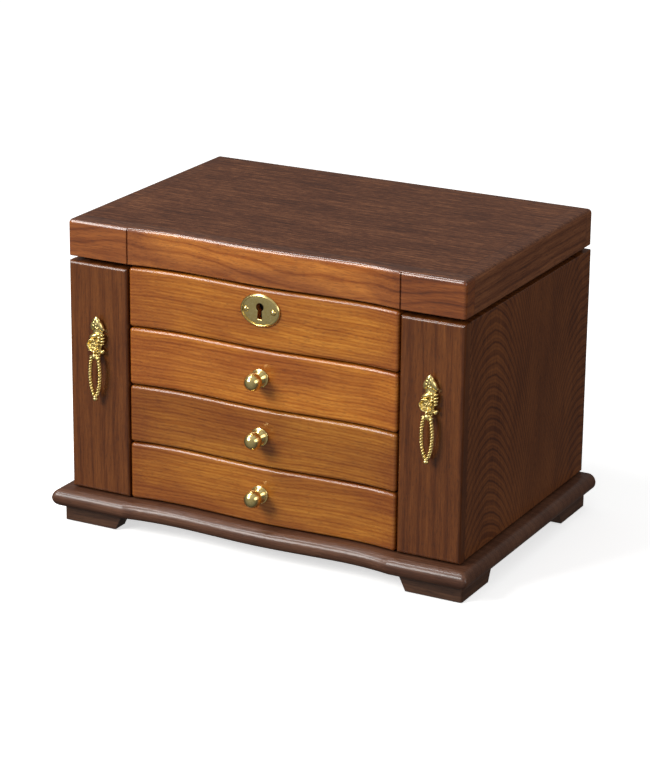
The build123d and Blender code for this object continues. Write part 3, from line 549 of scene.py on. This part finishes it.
ROPE_STRANDS = 2
ROPE_PITCH = 4.6
ROPE_RADIUS = 1.65
ROPE_DEEP = 1.5  # how much deeper than wide each rope is
STRAND_RADIUS = 0.66
STRAND_OFFSET = ROPE_RADIUS - STRAND_RADIUS
ROPE_STEPS = 170
ROPE_AROUND = 10
LOOP_WIDEST = 0.45  # share of the loop's height, from its top
LOOP_TOP_NARROW = 0.5
LOOP_FOOT_NARROW = 0.92
LOOP_ROUNDNESS = 2.2
LOOP_GAP = 1.15  # from the middle to each rope's middle, where the loop would close
EYE_HALF = 1.5
DEPTH = Vector((0, 1, 0))


def loop_line(share, half_width, top, bottom):
    """A point (x, z) down one side of the pull's long loop."""
    away = (share - LOOP_WIDEST) / (LOOP_WIDEST if share < LOOP_WIDEST else 1 - LOOP_WIDEST)
    out = 1 - (LOOP_TOP_NARROW if away < 0 else LOOP_FOOT_NARROW) * abs(away) ** LOOP_ROUNDNESS
    return LOOP_GAP + (half_width - LOOP_GAP) * out, top + (bottom - top) * share


def headings(line):
    """The direction along a line at each of its points, and the one across it."""
    last = len(line) - 1
    for i in range(len(line)):
        ahead = (line[min(i + 1, last)] - line[max(i - 1, 0)]).normalized()
        yield ahead, ahead.cross(DEPTH).normalized()


def tube(line, sections):
    """Rings of points about a line; a section gives a point's place from the directions there."""
    loops = []
    for centre, (ahead, across) in zip(line, headings(line)):
        angles = [2 * pi * k / ROPE_AROUND for k in range(ROPE_AROUND)]
        loops.append([centre + sections(ahead, across, a) for a in angles])
    return loops


def core_section(ahead, across, angle):
    return (across * cos(angle) + DEPTH * ROPE_DEEP * sin(angle)) * STRAND_OFFSET * 0.95


def strand_section(ahead, across, angle):
    return (across * cos(angle) + ahead.cross(across) * sin(angle) * 1.15) * STRAND_RADIUS


def add_pull_loop(side, material, core_material):
    """Two twisted ropes on dark cores that are painted shade in the grooves between the strands, an eye round
    the pin at the top and a capped drop below.
    """
    node = f"pull_{side}_loop"
    corner, far = low(node), high(node)
    joint = next(j for j in frame["joints"] if j["child"] == f"pull_{side}")
    x, y, pivot = (value / MM for value in joint["pos_m"])
    half_width = (far.x - corner.x) / 2
    top = pivot - 0.6
    bottom = corner.z + 4.6
    work = bmesh.new()
    core = bmesh.new()
    for way in (-1, 1):
        line = []
        for i in range(ROPE_STEPS + 1):
            sideways, height = loop_line(i / ROPE_STEPS, half_width - ROPE_RADIUS + 0.3, top, bottom)
            line.append(Vector((x + way * sideways, y, height)))
        rings(core, tube(line, core_section))
        lengths = [0.0]
        for first, second in zip(line, line[1:]):
            lengths.append(lengths[-1] + (second - first).length)
        for number in range(ROPE_STRANDS):
            centres = []
            for point, length, (_, across) in zip(line, lengths, headings(line)):
                angle = 2 * pi * (number / ROPE_STRANDS - length / ROPE_PITCH)
                aside = across * cos(angle) + DEPTH * ROPE_DEEP * sin(angle)
                centres.append(point + aside * STRAND_OFFSET)
            rings(work, tube(centres, strand_section))
    drop = [(0.1, 0.0), (1.2, 0.0), (1.9, 0.5), (2.2, 1.2), (2.25, 1.9), (1.9, 2.4), (1.55, 2.6)]
    drop += [(1.6, 2.9), (1.9, 3.2), (1.95, 3.7), (1.6, 4.2), (0.1, 4.5)]
    rings(work, spun(drop, (x, y, corner.z), (0, 0, 1), 32))
    for way in (-1, 1):
        blob(work, (x + way * 1.55, y - 0.25, bottom + 0.2), (1.35, 1.3, 1.2))
        blob(work, (x + way * 1.35, y - 0.35, top - 0.8), (1.25, 1.2, 1.2))
    # the bar that carries both ropes below the eye
    blob(work, (x, y, top), (half_width - 0.6, 1.5, 1.3))
    eye = [(1.05, -EYE_HALF), (2.15, -EYE_HALF), (2.2, 0.0), (2.15, EYE_HALF), (1.05, EYE_HALF)]
    rings(work, spun(eye + eye[:1], (x, y, pivot), (1, 0, 0), 32), False, False)
    made = piece(f"{side}_rope_drop", work, material, f"pull_{side}")
    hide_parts(node)
    piece(f"{side}_rope_core", core, core_material, f"pull_{side}")


BELL_SCALLOPS = 7
BELL_WAVE = 0.06
BUD_PETALS = 6
CAST_VOXEL = 0.25


def add_pull_boss(side, material):
    """The cast crown above the loop: leaves, a ruffled collar, an open bell and a curled tip."""
    node = f"pull_{side}_boss"
    corner, far = low(node), high(node)
    x = middle(node).x
    seat = far.y
    work = bmesh.new()
    base = corner.z + 1.4
    height = far.z - base

    def at(across, up, out):
        """A point given from the boss's foot: across to the right, up, and out from the door."""
        return (x + across, seat - out, base + up)

    blob(work, at(0.6, height * 0.46, 1.8), (4.6, 2.6, height * 0.38))
    # leaves of the crown, the right one folded forward
    blob(work, at(0.3, height - 6.9, 3.0), (4.3, 2.3, 6.3), (8, 3, 0), pinch=0.3)
    blob(work, at(3.5, height - 7.4, 3.2), (2.2, 2.6, 6.0), (6, -27, 0), pinch=0.25)
    blob(work, at(-2.9, height - 8.4, 2.8), (2.3, 2.1, 5.2), (10, 20, 0), pinch=0.3)
    blob(work, at(-4.7, height - 9.4, 2.2), (1.2, 1.2, 1.2))
    blob(work, at(5.9, height - 11.0, 2.6), (1.3, 1.5, 1.2))
    berries = ((0.2, 3.6), (-1.0, 5.6), (1.0, 7.0), (-1.6, 8.2), (0.4, 9.6), (1.9, 10.4))
    for k, (across, down) in enumerate(berries):
        blob(work, at(across, height - down, 4.9 - 0.05 * k), (0.95, 0.75, 1.0))
    # ruffled collar, highest at the left and stacked at the right
    blob(work, at(-1.2, 16.4, 4.6), (4.6, 2.5, 2.1), (0, -24, 0))
    for up, across, size in ((17.6, 5.4, 1.3), (15.0, 5.7, 1.4), (12.4, 5.6, 1.4), (9.9, 5.1, 1.2)):
        blob(work, at(across, up, 3.2), (2.2, 2.2, size * 0.74), (0, -18, 0))
        blob(work, at(across - 2.4, up + 0.7, 5.0), (1.6, 1.2, size * 0.72), (0, -18, 0))
    # open bell with a scalloped lip, and the bud inside it
    outward = Vector((0.0, -0.98, -0.14)).normalized()
    centre = Vector(at(-1.2, 9.6, 2.6))
    bell = [(0.1, -1.2), (2.2, -0.8), (3.6, 0.4), (4.5, 1.8), (5.2, 3.2), (5.5, 4.2), (5.2, 4.7), (4.6, 4.2)]
    bell += [(4.0, 2.8), (3.1, 1.6), (1.8, 0.9), (0.1, 0.7)]
    loops = spun(bell, centre, outward, 60)
    for (radius, _), loop in zip(bell, loops):
        for i, point in enumerate(loop):
            turn = 2 * pi * i / len(loop)
            wave = 1 + BELL_WAVE * cos(BELL_SCALLOPS * turn) * min(1.0, radius / 4.0)
            along = outward * (point - centre).dot(outward)
            loop[i] = centre + along + (point - centre - along) * wave
    rings(work, loops)
    bud = centre + outward * 1.4
    blob(work, bud, (1.2, 1.2, 1.2))
    for k in range(BUD_PETALS):
        angle = 2 * pi * k / BUD_PETALS
        blob(work, bud + Vector((2.0 * cos(angle), -0.2, 2.0 * sin(angle))), (0.7, 0.5, 0.9))
    # curled tip at the lower right, and the two beads over the pin
    blob(work, at(3.0, 5.0, 3.0), (2.6, 1.8, 1.6), (0, 28, 0))
    blob(work, at(5.4, 3.8, 3.3), (1.75, 1.75, 1.7))
    blob(work, at(6.6, 5.0, 3.3), (0.95, 1.0, 0.95))
    blob(work, at(0.6, 3.2, 3.0), (3.6, 2.2, 1.6))
    for way in (-1, 1):
        blob(work, at(0.4 + 1.7 * way, 1.2, 6.0), (1.25, 1.3, 1.2))
        blob(work, at(2.7 * way, -1.0, 4.2), (0.65, 2.6, 1.9), (20, 0, 0))
        blob(work, at(2.5 * way, 0.8, 2.2), (0.9, 2.2, 2.0))
    made = piece(f"{side}_cast_boss", work, material, f"door_{side}")
    modify(made, "REMESH", mode="VOXEL", voxel_size=CAST_VOXEL * MM)
    modify(made, "SMOOTH", factor=0.5, iterations=2)
    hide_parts(node)


SCREW_SLOT_HALF = 0.24
SCREW_SLOT_DEEP = 0.32
LEAF = 1.0  # thickness of a hinge leaf
LID_HINGES = (-95, 95)
LID_SCREW_ASIDE = 9
LEAF_SCREW_OFF = 8.3  # from the pin to the screws of a wide leaf
DOOR_HINGES = (50, 165)  # the height where each door hinge starts
DOOR_SCREWS_UP = (6, 24)
DOOR_LEAF_SCREW_OFF = 4.3


def add_screws(name, heads, material, body):
    """Domed, slotted heads that face backwards: each is a place and its slot's direction."""
    work = bmesh.new()
    profile = [(1.5, -0.5), (1.55, 0.02), (1.5, 0.1), (1.25, 0.2), (0.85, 0.27), (0.45, 0.3), (0.2, 0.31)]
    for centre, slot in heads:
        loops = spun(profile, centre, DEPTH, 40)
        side = DEPTH.cross(Vector(slot))
        for loop in loops[2:]:
            for i, point in enumerate(loop):
                if abs((point - Vector(centre)).dot(side)) < SCREW_SLOT_HALF:
                    loop[i] = point - DEPTH * SCREW_SLOT_DEEP
        rings(work, loops)
    piece(name, work, material, body, sharp=40)


def add_hinge_screws(material):
    """Screws in every hinge leaf on the back of the box, with their slots at all angles."""
    face = high("back_panel").y + LEAF
    pins = {j["child"]: Vector(j["pos_m"]) / MM for j in frame["joints"] if "hinge" in j["name"]}
    for body, up in (("case", -LEAF_SCREW_OFF), ("lid", LEAF_SCREW_OFF)):
        heads = []
        for hinge in LID_HINGES:
            for aside in (-LID_SCREW_ASIDE, LID_SCREW_ASIDE):
                x = hinge + aside
                heads.append(((x, face, pins["lid"].z + up), (sin(x), 0, cos(x))))
        add_screws(f"lid_hinge_{body}_screws", heads, material, body)
    for side, way in SIDES:
        pin = abs(pins[f"door_{side}"].x)
        leaves = (("case", "case", -LEAF_SCREW_OFF), ("door", f"door_{side}", DOOR_LEAF_SCREW_OFF))
        for name, body, off in leaves:
            heads = []
            for start in DOOR_HINGES:
                for up in DOOR_SCREWS_UP:
                    z = start + up
                    heads.append(((way * (pin + off), face, z), (cos(z), 0, sin(z))))
            add_screws(f"door_{side}_hinge_{name}_screws", heads, material, body)


# ---- soft pieces ---------------------------------------------------------------------------------
CLOTH_FRAMES = 20


def plump(target, voxel, cap, seat=None, pressure=4.0):
    """Fills a closed piece as stuffing does: cloth under pressure, no point moved more than cap."""
    modify(target, "REMESH", mode="VOXEL", voxel_size=voxel * MM)
    rest = [vertex.co.copy() for vertex in target.data.vertices]
    cloth = target.modifiers.new("cloth", "CLOTH")
    cloth.settings.use_pressure = True
    cloth.settings.uniform_pressure_force = pressure
    cloth.settings.effector_weights.gravity = 0
    cloth.settings.quality = 4
    cloth.point_cache.frame_start = 1
    cloth.point_cache.frame_end = CLOTH_FRAMES
    for step in range(1, CLOTH_FRAMES + 1):
        bpy.context.scene.frame_set(step)
    graph = bpy.context.evaluated_depsgraph_get()
    moved = [vertex.co.copy() for vertex in target.evaluated_get(graph).data.vertices]
    target.modifiers.clear()
    bpy.context.scene.frame_set(1)
    for vertex, start, end in zip(target.data.vertices, rest, moved):
        away = end - start
        if away.length > cap * MM:
            away *= cap * MM / away.length
        vertex.co = start + away
    if seat is not None:
        for vertex in target.data.vertices:
            vertex.co.z = max(vertex.co.z, seat * MM)
    modify(target, "SMOOTH", factor=0.5, iterations=2)
    modify(target, "SUBSURF", levels=1)
    return target


def rounded(x0, x1, y0, y1, radius, z, corner=6, run=14):
    """A rectangle with round corners, the same number of points on each side."""
    points = []
    for cx, cy, start in ((x1, y1, 0), (x0, y1, 90), (x0, y0, 180), (x1, y0, 270)):
        mx = cx - radius if cx == x1 else cx + radius
        my = cy - radius if cy == y1 else cy + radius
        for i in range(corner + 1):
            a = radians(start + 90 * i / corner)
            points.append(Vector((mx + radius * cos(a), my + radius * sin(a), z)))
    filled = []
    for i, point in enumerate(points):
        filled.append(point)
        after = points[(i + 1) % len(points)]
        if i % (corner + 1) == corner:
            filled += [point.lerp(after, k / run) for k in range(1, run)]
    return filled


LINING_FILLET = 3.5
LINING_STEPS = 6
LINING_CROWN = 0.8
FLOOR_RINGS = 9
LINING_GROWTH = 0.35  # how far a velvet well reaches past the CAD's thin pad
LINING_BELOW_RIM = 2.5
DIVIDER_CLEAR = 2.15  # from the drawer's middle to a well


def lining_tub(work, box_low, box_high, wall, floor, seed):
    """A velvet-wrapped lining with a rolled rim, soft corners and a slightly crowned floor."""
    x0, y0, z0 = box_low
    x1, y1, z1 = box_high
    half = wall / 2
    tall = z1 - z0
    # inset from the outside, height and corner radius: up the outside, over the rim, down to the floor
    shape = [(0.0, 0.0, 1.5), (0.0, tall - half, 1.5)]
    for i in range(1, LINING_STEPS):
        a = pi - pi * i / LINING_STEPS
        shape.append((half + half * cos(a), tall - half + half * sin(a), 1.5))
    shape += [(wall, tall - half, 2.7), (wall, tall * 0.66, 3.1), (wall, tall * 0.36, 3.5)]
    start = wall + LINING_FILLET
    for i in range(LINING_STEPS + 1):
        a = radians(180 + 90 * i / LINING_STEPS)
        shape.append((start + LINING_FILLET * cos(a), floor + LINING_FILLET * (1 + sin(a)), 3.7))
    loops = []
    for inset, height, radius in shape:
        loops.append(rounded(x0 + inset, x1 - inset, y0 + inset, y1 - inset, radius, z0 + height))
    reach = min(x1 - x0, y1 - y0) / 2 - start
    for i in range(1, FLOOR_RINGS):
        inset = start + reach * i / FLOOR_RINGS
        crown = LINING_CROWN * sin(pi / 2 * min(1.0, i / 4))
        loops.append(rounded(x0 + inset, x1 - inset, y0 + inset, y1 - inset, 2.0, z0 + floor + crown))
    for loop in loops[len(shape):]:
        for point in loop:
            point.z += noise.noise(point * 0.045 + Vector((seed, 0, 0))) * 0.35
    made = rings(work, loops, True, False)
    work.faces.new(made[-1])


def add_drawer_lining(number, material):
    """Two velvet wells, one each side of the drawer's divider."""
    node = f"drawer_{number}_lining"
    box_low, box_high = low(node), high(node)
    top = high(f"drawer_{number}_box").z - LINING_BELOW_RIM
    work = bmesh.new()
    for way in (-1, 1):
        x0, x1 = sorted((way * DIVIDER_CLEAR, way * (box_high.x + LINING_GROWTH)))
        corner = (x0, box_low.y - LINING_GROWTH, box_low.z)
        far = (x1, box_high.y + LINING_GROWTH, top)
        lining_tub(work, corner, far, 1.3, 1.6, number * 3.1 + way)
    made = piece(f"drawer_{number}_velvet", work, material, f"drawer_{number}")
    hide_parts(node)


def add_tray_lining(material):
    node = "tray_lining"
    work = bmesh.new()
    lining_tub(work, low(node), high(node), 2.0, 2.0, 7.7)
    made = piece("tray_velvet", work, material, "case")
    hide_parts(node)


ROLL_COUNT = 8
ROLL_PITCH = 14.9
ROLL_RADIUS = 6.8
ROLL_SLIM = 0.9  # how much slimmer a roll starts, because its stuffing swells it
ROLL_SEGMENTS = 32
ROLL_BENDS = 16


def add_ring_rolls(material):
    """Stuffed velvet rolls side by side."""
    node = "ring_rolls"
    box_low, box_high = low(node), high(node)
    inside = ROLL_RADIUS - ROLL_SLIM
    length = box_high.x - box_low.x - 2 * ROLL_SLIM
    straight = length - 2 * inside
    profile = arc((0.0, inside), inside, -84, 0, 8)
    profile += [(inside, inside + straight * i / ROLL_BENDS) for i in range(1, ROLL_BENDS)]
    profile += arc((0.0, length - inside), inside, 0, 84, 8)
    profile = [(max(0.3, radius), height) for radius, height in profile]
    for number in range(ROLL_COUNT):
        y = box_low.y + ROLL_RADIUS + ROLL_PITCH * number
        work = bmesh.new()
        seat = (box_low.x + ROLL_SLIM, y, (box_low.z + box_high.z) / 2)
        rings(work, spun(profile, seat, (1, 0, 0), ROLL_SEGMENTS))
        for vertex in work.verts:
            vertex.co.y += noise.noise(Vector((vertex.co.x * 0.05, number * 3.3, 0))) * 0.35
        roll = piece(f"ring_roll_{number + 1}", work, material, "case")
        plump(roll, 2.4, ROLL_SLIM * 0.9, box_low.z)
    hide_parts(node)


POCKET_FOLDS = 17
POCKET_TUCK = 0.72  # share of the way down where the pocket starts to curve in under
POCKET_COLUMNS, POCKET_ROWS = 150, 30
POCKET_SAG = 1.2
POCKET_OFF = 0.7  # least distance from the door
CLOTH = 0.9
HEM_RADIUS = 1.05
HEM_AROUND = 12


def pocket_bulge(across, down, deep):
    """How far the pocket stands out from its door; across and down run from 0 to 1."""
    ends = 1 - abs(2 * across - 1) ** 7
    full = 0.74 + 0.26 * sin(pi * min(1, down * 1.15)) ** 0.8
    tucked = 1 - 0.93 * (max(0.0, down - POCKET_TUCK) / (1 - POCKET_TUCK)) ** 2
    depth = (1.3 - 0.7 * sin(pi * down)) * ends * min(1.0, full * tucked * 1.6)
    folds = cos(2 * pi * POCKET_FOLDS * across + 0.9 * sin(9 * across))
    return POCKET_OFF + deep * ends * full * tucked + folds * depth


def add_pocket(side, way, material, hem_material):
    """A gathered velvet pocket on the inside of a door, open at the top, with a corded hem."""
    node = f"door_{side}_pocket"
    body = f"door_{side}"
    box_low, box_high = low(node), high(node)
    wall = box_high.x if way > 0 else box_low.x
    deep = box_high.x - box_low.x - 4.6
    width, height = box_high.y - box_low.y, box_high.z - box_low.z

    work = bmesh.new()
    grid = []
    for j in range(POCKET_ROWS + 1):
        down = j / POCKET_ROWS
        row = []
        for i in range(POCKET_COLUMNS + 1):
            across = i / POCKET_COLUMNS
            x = wall - way * pocket_bulge(across, down, deep)
            y = box_low.y + width * (0.004 + 0.992 * across)
            sag = POCKET_SAG * sin(pi * across) * (1 - down)
            z = box_high.z - 1.0 - (height - 1) * down - sag
            row.append(work.verts.new((x, y, z)))
        grid.append(row)
    for upper, lower in zip(grid, grid[1:]):
        for i in range(POCKET_COLUMNS):
            work.faces.new((upper[i], upper[i + 1], lower[i + 1], lower[i]))
    cloth = piece(f"door_{side}_gathered_pocket", work, material, body)
    modify(cloth, "SOLIDIFY", thickness=CLOTH * MM, offset=0.0)
    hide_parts(node)

    work = bmesh.new()
    loops = []
    for i in range(0, POCKET_COLUMNS + 1, 2):
        across = i / POCKET_COLUMNS
        out = max(pocket_bulge(across, 0.0, deep), HEM_RADIUS + 0.25)
        y = box_low.y + width * (0.01 + 0.98 * across)
        z = box_high.z - 1.6 - POCKET_SAG * sin(pi * across)
        centre = Vector((wall - way * out, y, z))
        angles = [2 * pi * k / HEM_AROUND for k in range(HEM_AROUND)]
        loops.append([centre + Vector((cos(a), 0, sin(a) * 1.25)) * HEM_RADIUS for a in angles])
    rings(work, loops)
    hem = piece(f"door_{side}_pocket_hem", work, hem_material, body)


# ---- mirror --------------------------------------------------------------------------------------
MIRROR_BEVEL = 11.0
MIRROR_CORNER = 0.6


def add_mirror(material):
    """A bevelled pane facing down from the lid."""
    node = "mirror"
    box_low, box_high = low(node), high(node)
    work = bmesh.new()
    thick = box_high.z - box_low.z
    shape = [(0.0, thick), (0.0, thick * 0.45), (0.25, thick * 0.4)]
    shape += [(MIRROR_BEVEL, 0.0), (MIRROR_BEVEL + 0.4, 0.0)]
    loops = []
    for inset, height in shape:
        x0, x1 = box_low.x + inset, box_high.x - inset
        y0, y1 = box_low.y + inset, box_high.y - inset
        loops.append(rounded(x0, x1, y0, y1, MIRROR_CORNER, box_low.z + height, 2, 4))
    made = rings(work, loops, False, False)
    work.faces.new(made[0])
    work.faces.new(made[-1])
    pane = piece("bevelled_mirror", work, material, "lid", smooth=False)
    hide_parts(node)


# ---- materials on the CAD nodes ------------------------------------------------------------------
def dress(node, material):
    """Gives a CAD node a finish."""
    for slot in frame["nodes"][node].material_slots:
        slot.material = material


X, Y, Z = 0, 1, 2
TOP_TONES = (tone(52, 25, 13), tone(89, 50, 30), tone(138, 89, 57))
FEET_TONES = (tone(40, 22, 14), tone(70, 44, 30), tone(108, 74, 52))
DOOR_TONES = (tone(50, 22, 6), tone(90, 45, 14), tone(134, 78, 34))
FRONT_TONES = (tone(112, 48, 8), tone(186, 106, 26), tone(232, 156, 60))
FRONT_STAIN = (tone(84, 34, 10), tone(146, 74, 22), tone(186, 110, 44))
RAIL_TONES = (tone(84, 34, 8), tone(164, 88, 26), tone(214, 136, 56))
RAIL_STAIN = (tone(60, 26, 10), tone(118, 60, 24), tone(160, 92, 42))
LID_SIDE_TONES = (tone(60, 28, 14), tone(106, 58, 30), tone(156, 98, 60))
SIDE_TONES = (tone(42, 18, 6), tone(86, 42, 16), tone(134, 78, 38))
BASE_TONES = (tone(48, 26, 17), tone(82, 50, 34), tone(120, 82, 60))
INNER_TONES = (tone(96, 52, 28), tone(136, 84, 48), tone(172, 118, 74))
STAIN_REACH = high("lock_panel").x  # half the width of the drawer fronts
SAND = (0.52, 0.40, 0.27, 1)
BAND = (0.36, 0.26, 0.17, 1)
FELT = (0.10, 0.05, 0.03, 1)
FELT_PILE = 0.3



# ---- wood of each part ---------------------------------------------------------------------------
def dress_lid():
    """The lid's top and rails, whose upper faces share one dark, streaky figure."""
    dress(
        "lid_top",
        wood("wood_lid_top", TOP_TONES, (X, Y, Z), 3.0, pitch=17, rings=0.12, fibre=0.34, blotch=0.22,
             pores=0.5, gloss=0.34, coat=0.2, cover=TOP_TONES),
    )
    dress(
        "lid_front",
        wood("wood_lid_front", RAIL_TONES, (X, Z, Y), 8.3, pitch=10, rings=0.5, warp=58, ripple=5.0,
             fibre=0.24, blotch=0.45, stain=RAIL_STAIN, coat=0.7, cover=TOP_TONES),
    )
    for node, seed in (("lid_side_left", 5.1), ("lid_side_right", 6.4)):
        dress(
            node,
            wood(f"wood_{node}", LID_SIDE_TONES, (Y, Z, X), seed, pitch=8, rings=0.4, coat=0.3,
                 cover=TOP_TONES),
        )
    dress(
        "lid_back",
        wood("wood_lid_back", LID_SIDE_TONES, (X, Z, Y), 7.2, pitch=8, rings=0.3, coat=0.3,
             cover=TOP_TONES),
    )


def dress_doors():
    """Straight figure on the doors' fronts, arched growth lines on their sides."""
    front, back = low("door_left_front").y, high("back_panel").y
    peaks = [front + share * (back - front) for share in (0.2, 0.97)]
    for side, way in SIDES:
        dress(
            f"door_{side}_front",
            wood(f"wood_door_{side}_front", DOOR_TONES, (Z, X, Y), 11.0 + way * 2.3, pitch=11, rings=0.3,
                 warp=12, fibre=0.26, blotch=0.22, lines=0.2, coat=0.35),
        )
        dress(
            f"door_{side}_side",
            wood(f"wood_door_{side}_side", SIDE_TONES, (Z, Y, X), 21.0 + way, pitch=8.5, rings=0.6, warp=9,
                 ripple=4.0, fibre=0.27, blotch=0.3, lines=0.75, peaks=peaks, coat=0.2),
        )


def dress_fronts():
    """The four golden fronts, each cut from a board of its own."""
    for node, seed, pitch, shade in (
        ("lock_panel", 29.0, 6.8, 0.84),
        ("drawer_1_front", 35.7, 7.4, 0.94),
        ("drawer_2_front", 40.4, 7.0, 0.65),
        ("drawer_3_front", 45.1, 8.2, 0.72),
    ):
        dress(
            node,
            wood(f"wood_{node}", FRONT_TONES, (X, Z, Y), seed, pitch=pitch, rings=0.3, warp=15, ripple=2.6,
                 fibre=0.22, blotch=0.18, lines=0.7, stain=FRONT_STAIN, shade=shade, coat=0.5),
        )


def dress_carcass():
    """The base, feet, back, inner boards and the darker rims round the openings."""
    for number in DRAWERS:
        name = f"wood_drawer_{number}_box"
        material = wood(name, INNER_TONES, (Y, Z, X), 50.0 + number, rings=0.3, gloss=0.55, coat=0.0)
        dress(f"drawer_{number}_box", material)
    base = wood("wood_base", BASE_TONES, (X, Y, Z), 41.0, pitch=9, rings=0.2, gloss=0.32, coat=0.3)
    dress("base_plate", base)
    feet = wood("wood_feet", FEET_TONES, (X, Z, Y), 44.0, pitch=7, rings=0.3, gloss=0.36, coat=0.35)
    for node in ("foot_front_left", "foot_front_right", "foot_rear_left", "foot_rear_right"):
        dress(node, feet)
    dress("back_panel", wood("wood_back", SIDE_TONES, (X, Z, Y), 61.0, pitch=9, rings=0.4, gloss=0.4, coat=0.1))
    inner = wood("wood_inner", INNER_TONES, (Y, Z, X), 63.0, rings=0.3, gloss=0.55, coat=0.0)
    for node in ("partition_left", "partition_right", "shelf_1", "shelf_2", "shelf_3", "tray_dividers"):
        dress(node, inner)
    rim = wood("wood_rim", DOOR_TONES, (X, Y, Z), 66.0, rings=0.25, gloss=0.5, coat=0.1)
    for node in ("ceiling_left", "ceiling_right", "mirror_frame"):
        dress(node, rim)


add_camera()
dress_lid()
dress_doors()
dress_fronts()
dress_carcass()

gold = brass("brass_polished")
hinge_brass = brass("brass_hinges", polish=0.24, tarnish=0.35)
rope_brass = brass("brass_rope", polish=0.3, tarnish=0.6, hollow_reach=0.9)
# full tarnish over a wide reach: the rope cores are painted dark as the shade in the grooves between the
# strands, on top of the hollow tarnish
groove_shade_brass = brass("brass_groove_shade", polish=0.34, tarnish=1.0, hollow_reach=5.0)
cast_brass = brass("brass_cast", polish=0.3, tarnish=0.5, hollow_reach=1.6)
for node in frame["nodes"]:
    if "hinge" in node:
        dress(node, hinge_brass)
    elif node in ("escutcheon_pins", "strike_plate") or node.endswith("_hooks"):
        dress(node, gold)
dress("lock_case", steel("steel_blackened", dark=0.025, light=0.06))
dress("lock_bolt", steel("steel_bright", dark=0.42, light=0.66))
sand = velvet("velvet_sand", SAND)
dark_sand = velvet("velvet_band", BAND)
dress("foot_felts", velvet("felt_feet", FELT, FELT_PILE))

for number in DRAWERS:
    add_knob(number, gold)
    add_drawer_lining(number, sand)
add_escutcheon(gold)
for side, way in SIDES:
    add_pull_boss(side, cast_brass)
    add_pull_loop(side, rope_brass, groove_shade_brass)
    add_pocket(side, way, sand, dark_sand)
add_tray_lining(sand)
add_ring_rolls(sand)
add_mirror(mirror_silver())
add_hinge_screws(hinge_brass)


# ---- floor and light -----------------------------------------------------------------------------
FLOOR_REACH = 9.0
FLOOR_GLOW = 0.62


def add_floor():
    """A pale floor that lights nothing, so that the wood's undersides stay dark."""
    mesh = bpy.data.meshes.new("floor")
    corners = [(x * FLOOR_REACH, y * FLOOR_REACH, 0) for x, y in ((-1, -1), (1, -1), (1, 1), (-1, 1))]
    mesh.from_pydata(corners, [], [(0, 1, 2, 3)])
    g = Graph("floor_pale")
    g.set(Base_Color=(0.9, 0.9, 0.9, 1), Roughness=0.9, Specular_IOR_Level=0.0)
    g.set(Emission_Color=(1, 1, 1, 1), Emission_Strength=FLOOR_GLOW)
    mesh.materials.append(g.material)
    floor = bpy.data.objects.new("floor", mesh)
    bpy.context.scene.collection.objects.link(floor)
    floor.visible_diffuse = False
    floor.visible_glossy = False


def add_softbox(name, direction, distance, width, height, watts, colour=(1, 1, 1)):
    """A rectangular light aimed at the middle of the box."""
    data = bpy.data.lights.new(name, "AREA")
    data.shape = "RECTANGLE"
    data.size = width
    data.size_y = height
    data.energy = watts
    data.color = colour
    light = bpy.data.objects.new(name, data)
    bpy.context.scene.collection.objects.link(light)
    away = Vector(direction).normalized() * distance
    light.location = Vector((0, 0, VIEW_HEIGHT)) + away
    light.rotation_euler = (-away).to_track_quat("-Z", "Y").to_euler()


WORLD_RAMP = ((0.35, 0.10), (0.7, 0.24), (1.0, 1.0))  # (height, grey), from straight down to straight up
WORLD_FRONT = 0.5  # extra light from the front
WORLD_STRENGTH = 0.5


def add_world():
    """A soft sky, brightest above and in front."""
    world = bpy.data.worlds.new("studio")
    world.use_nodes = True
    tree = world.node_tree
    background = tree.nodes["Background"]
    where = tree.nodes.new("ShaderNodeTexCoord")
    apart = tree.nodes.new("ShaderNodeSeparateXYZ")
    ramp = tree.nodes.new("ShaderNodeValToRGB")
    tree.links.new(where.outputs["Generated"], apart.inputs[0])
    up = tree.nodes.new("ShaderNodeMath")
    up.operation = "MULTIPLY_ADD"
    up.inputs[1].default_value = 0.5
    up.inputs[2].default_value = 0.5
    tree.links.new(apart.outputs["Z"], up.inputs[0])
    tree.links.new(up.outputs[0], ramp.inputs[0])
    line = ramp.color_ramp.elements
    line.new(0.6)
    for element, (place, grey) in zip(line, WORLD_RAMP):
        element.position = place
        element.color = (grey, grey, grey * 0.99, 1)
    front = tree.nodes.new("ShaderNodeMath")
    front.operation = "MULTIPLY"
    front.inputs[1].default_value = -WORLD_FRONT
    front.use_clamp = True
    tree.links.new(apart.outputs["Y"], front.inputs[0])
    both = tree.nodes.new("ShaderNodeMix")
    both.data_type = "RGBA"
    both.blend_type = "ADD"
    both.inputs[0].default_value = 1.0
    tree.links.new(ramp.outputs[0], both.inputs[6])
    tree.links.new(front.outputs[0], both.inputs[7])
    tree.links.new(both.outputs[2], background.inputs["Color"])
    background.inputs["Strength"].default_value = WORLD_STRENGTH
    bpy.context.scene.world = world


bpy.context.scene.view_settings.view_transform = "Standard"
add_floor()
add_world()
warm = (1.0, 0.98, 0.95)
add_softbox("key", (-0.45, -0.75, 0.5), distance=2.2, width=0.8, height=0.8, watts=34, colour=warm)
add_softbox("top", (-0.44, -0.34, 0.83), distance=2.0, width=0.28, height=1.0, watts=15)
add_softbox("fill", (0.9, -0.3, 0.35), distance=2.6, width=1.6, height=1.2, watts=16)
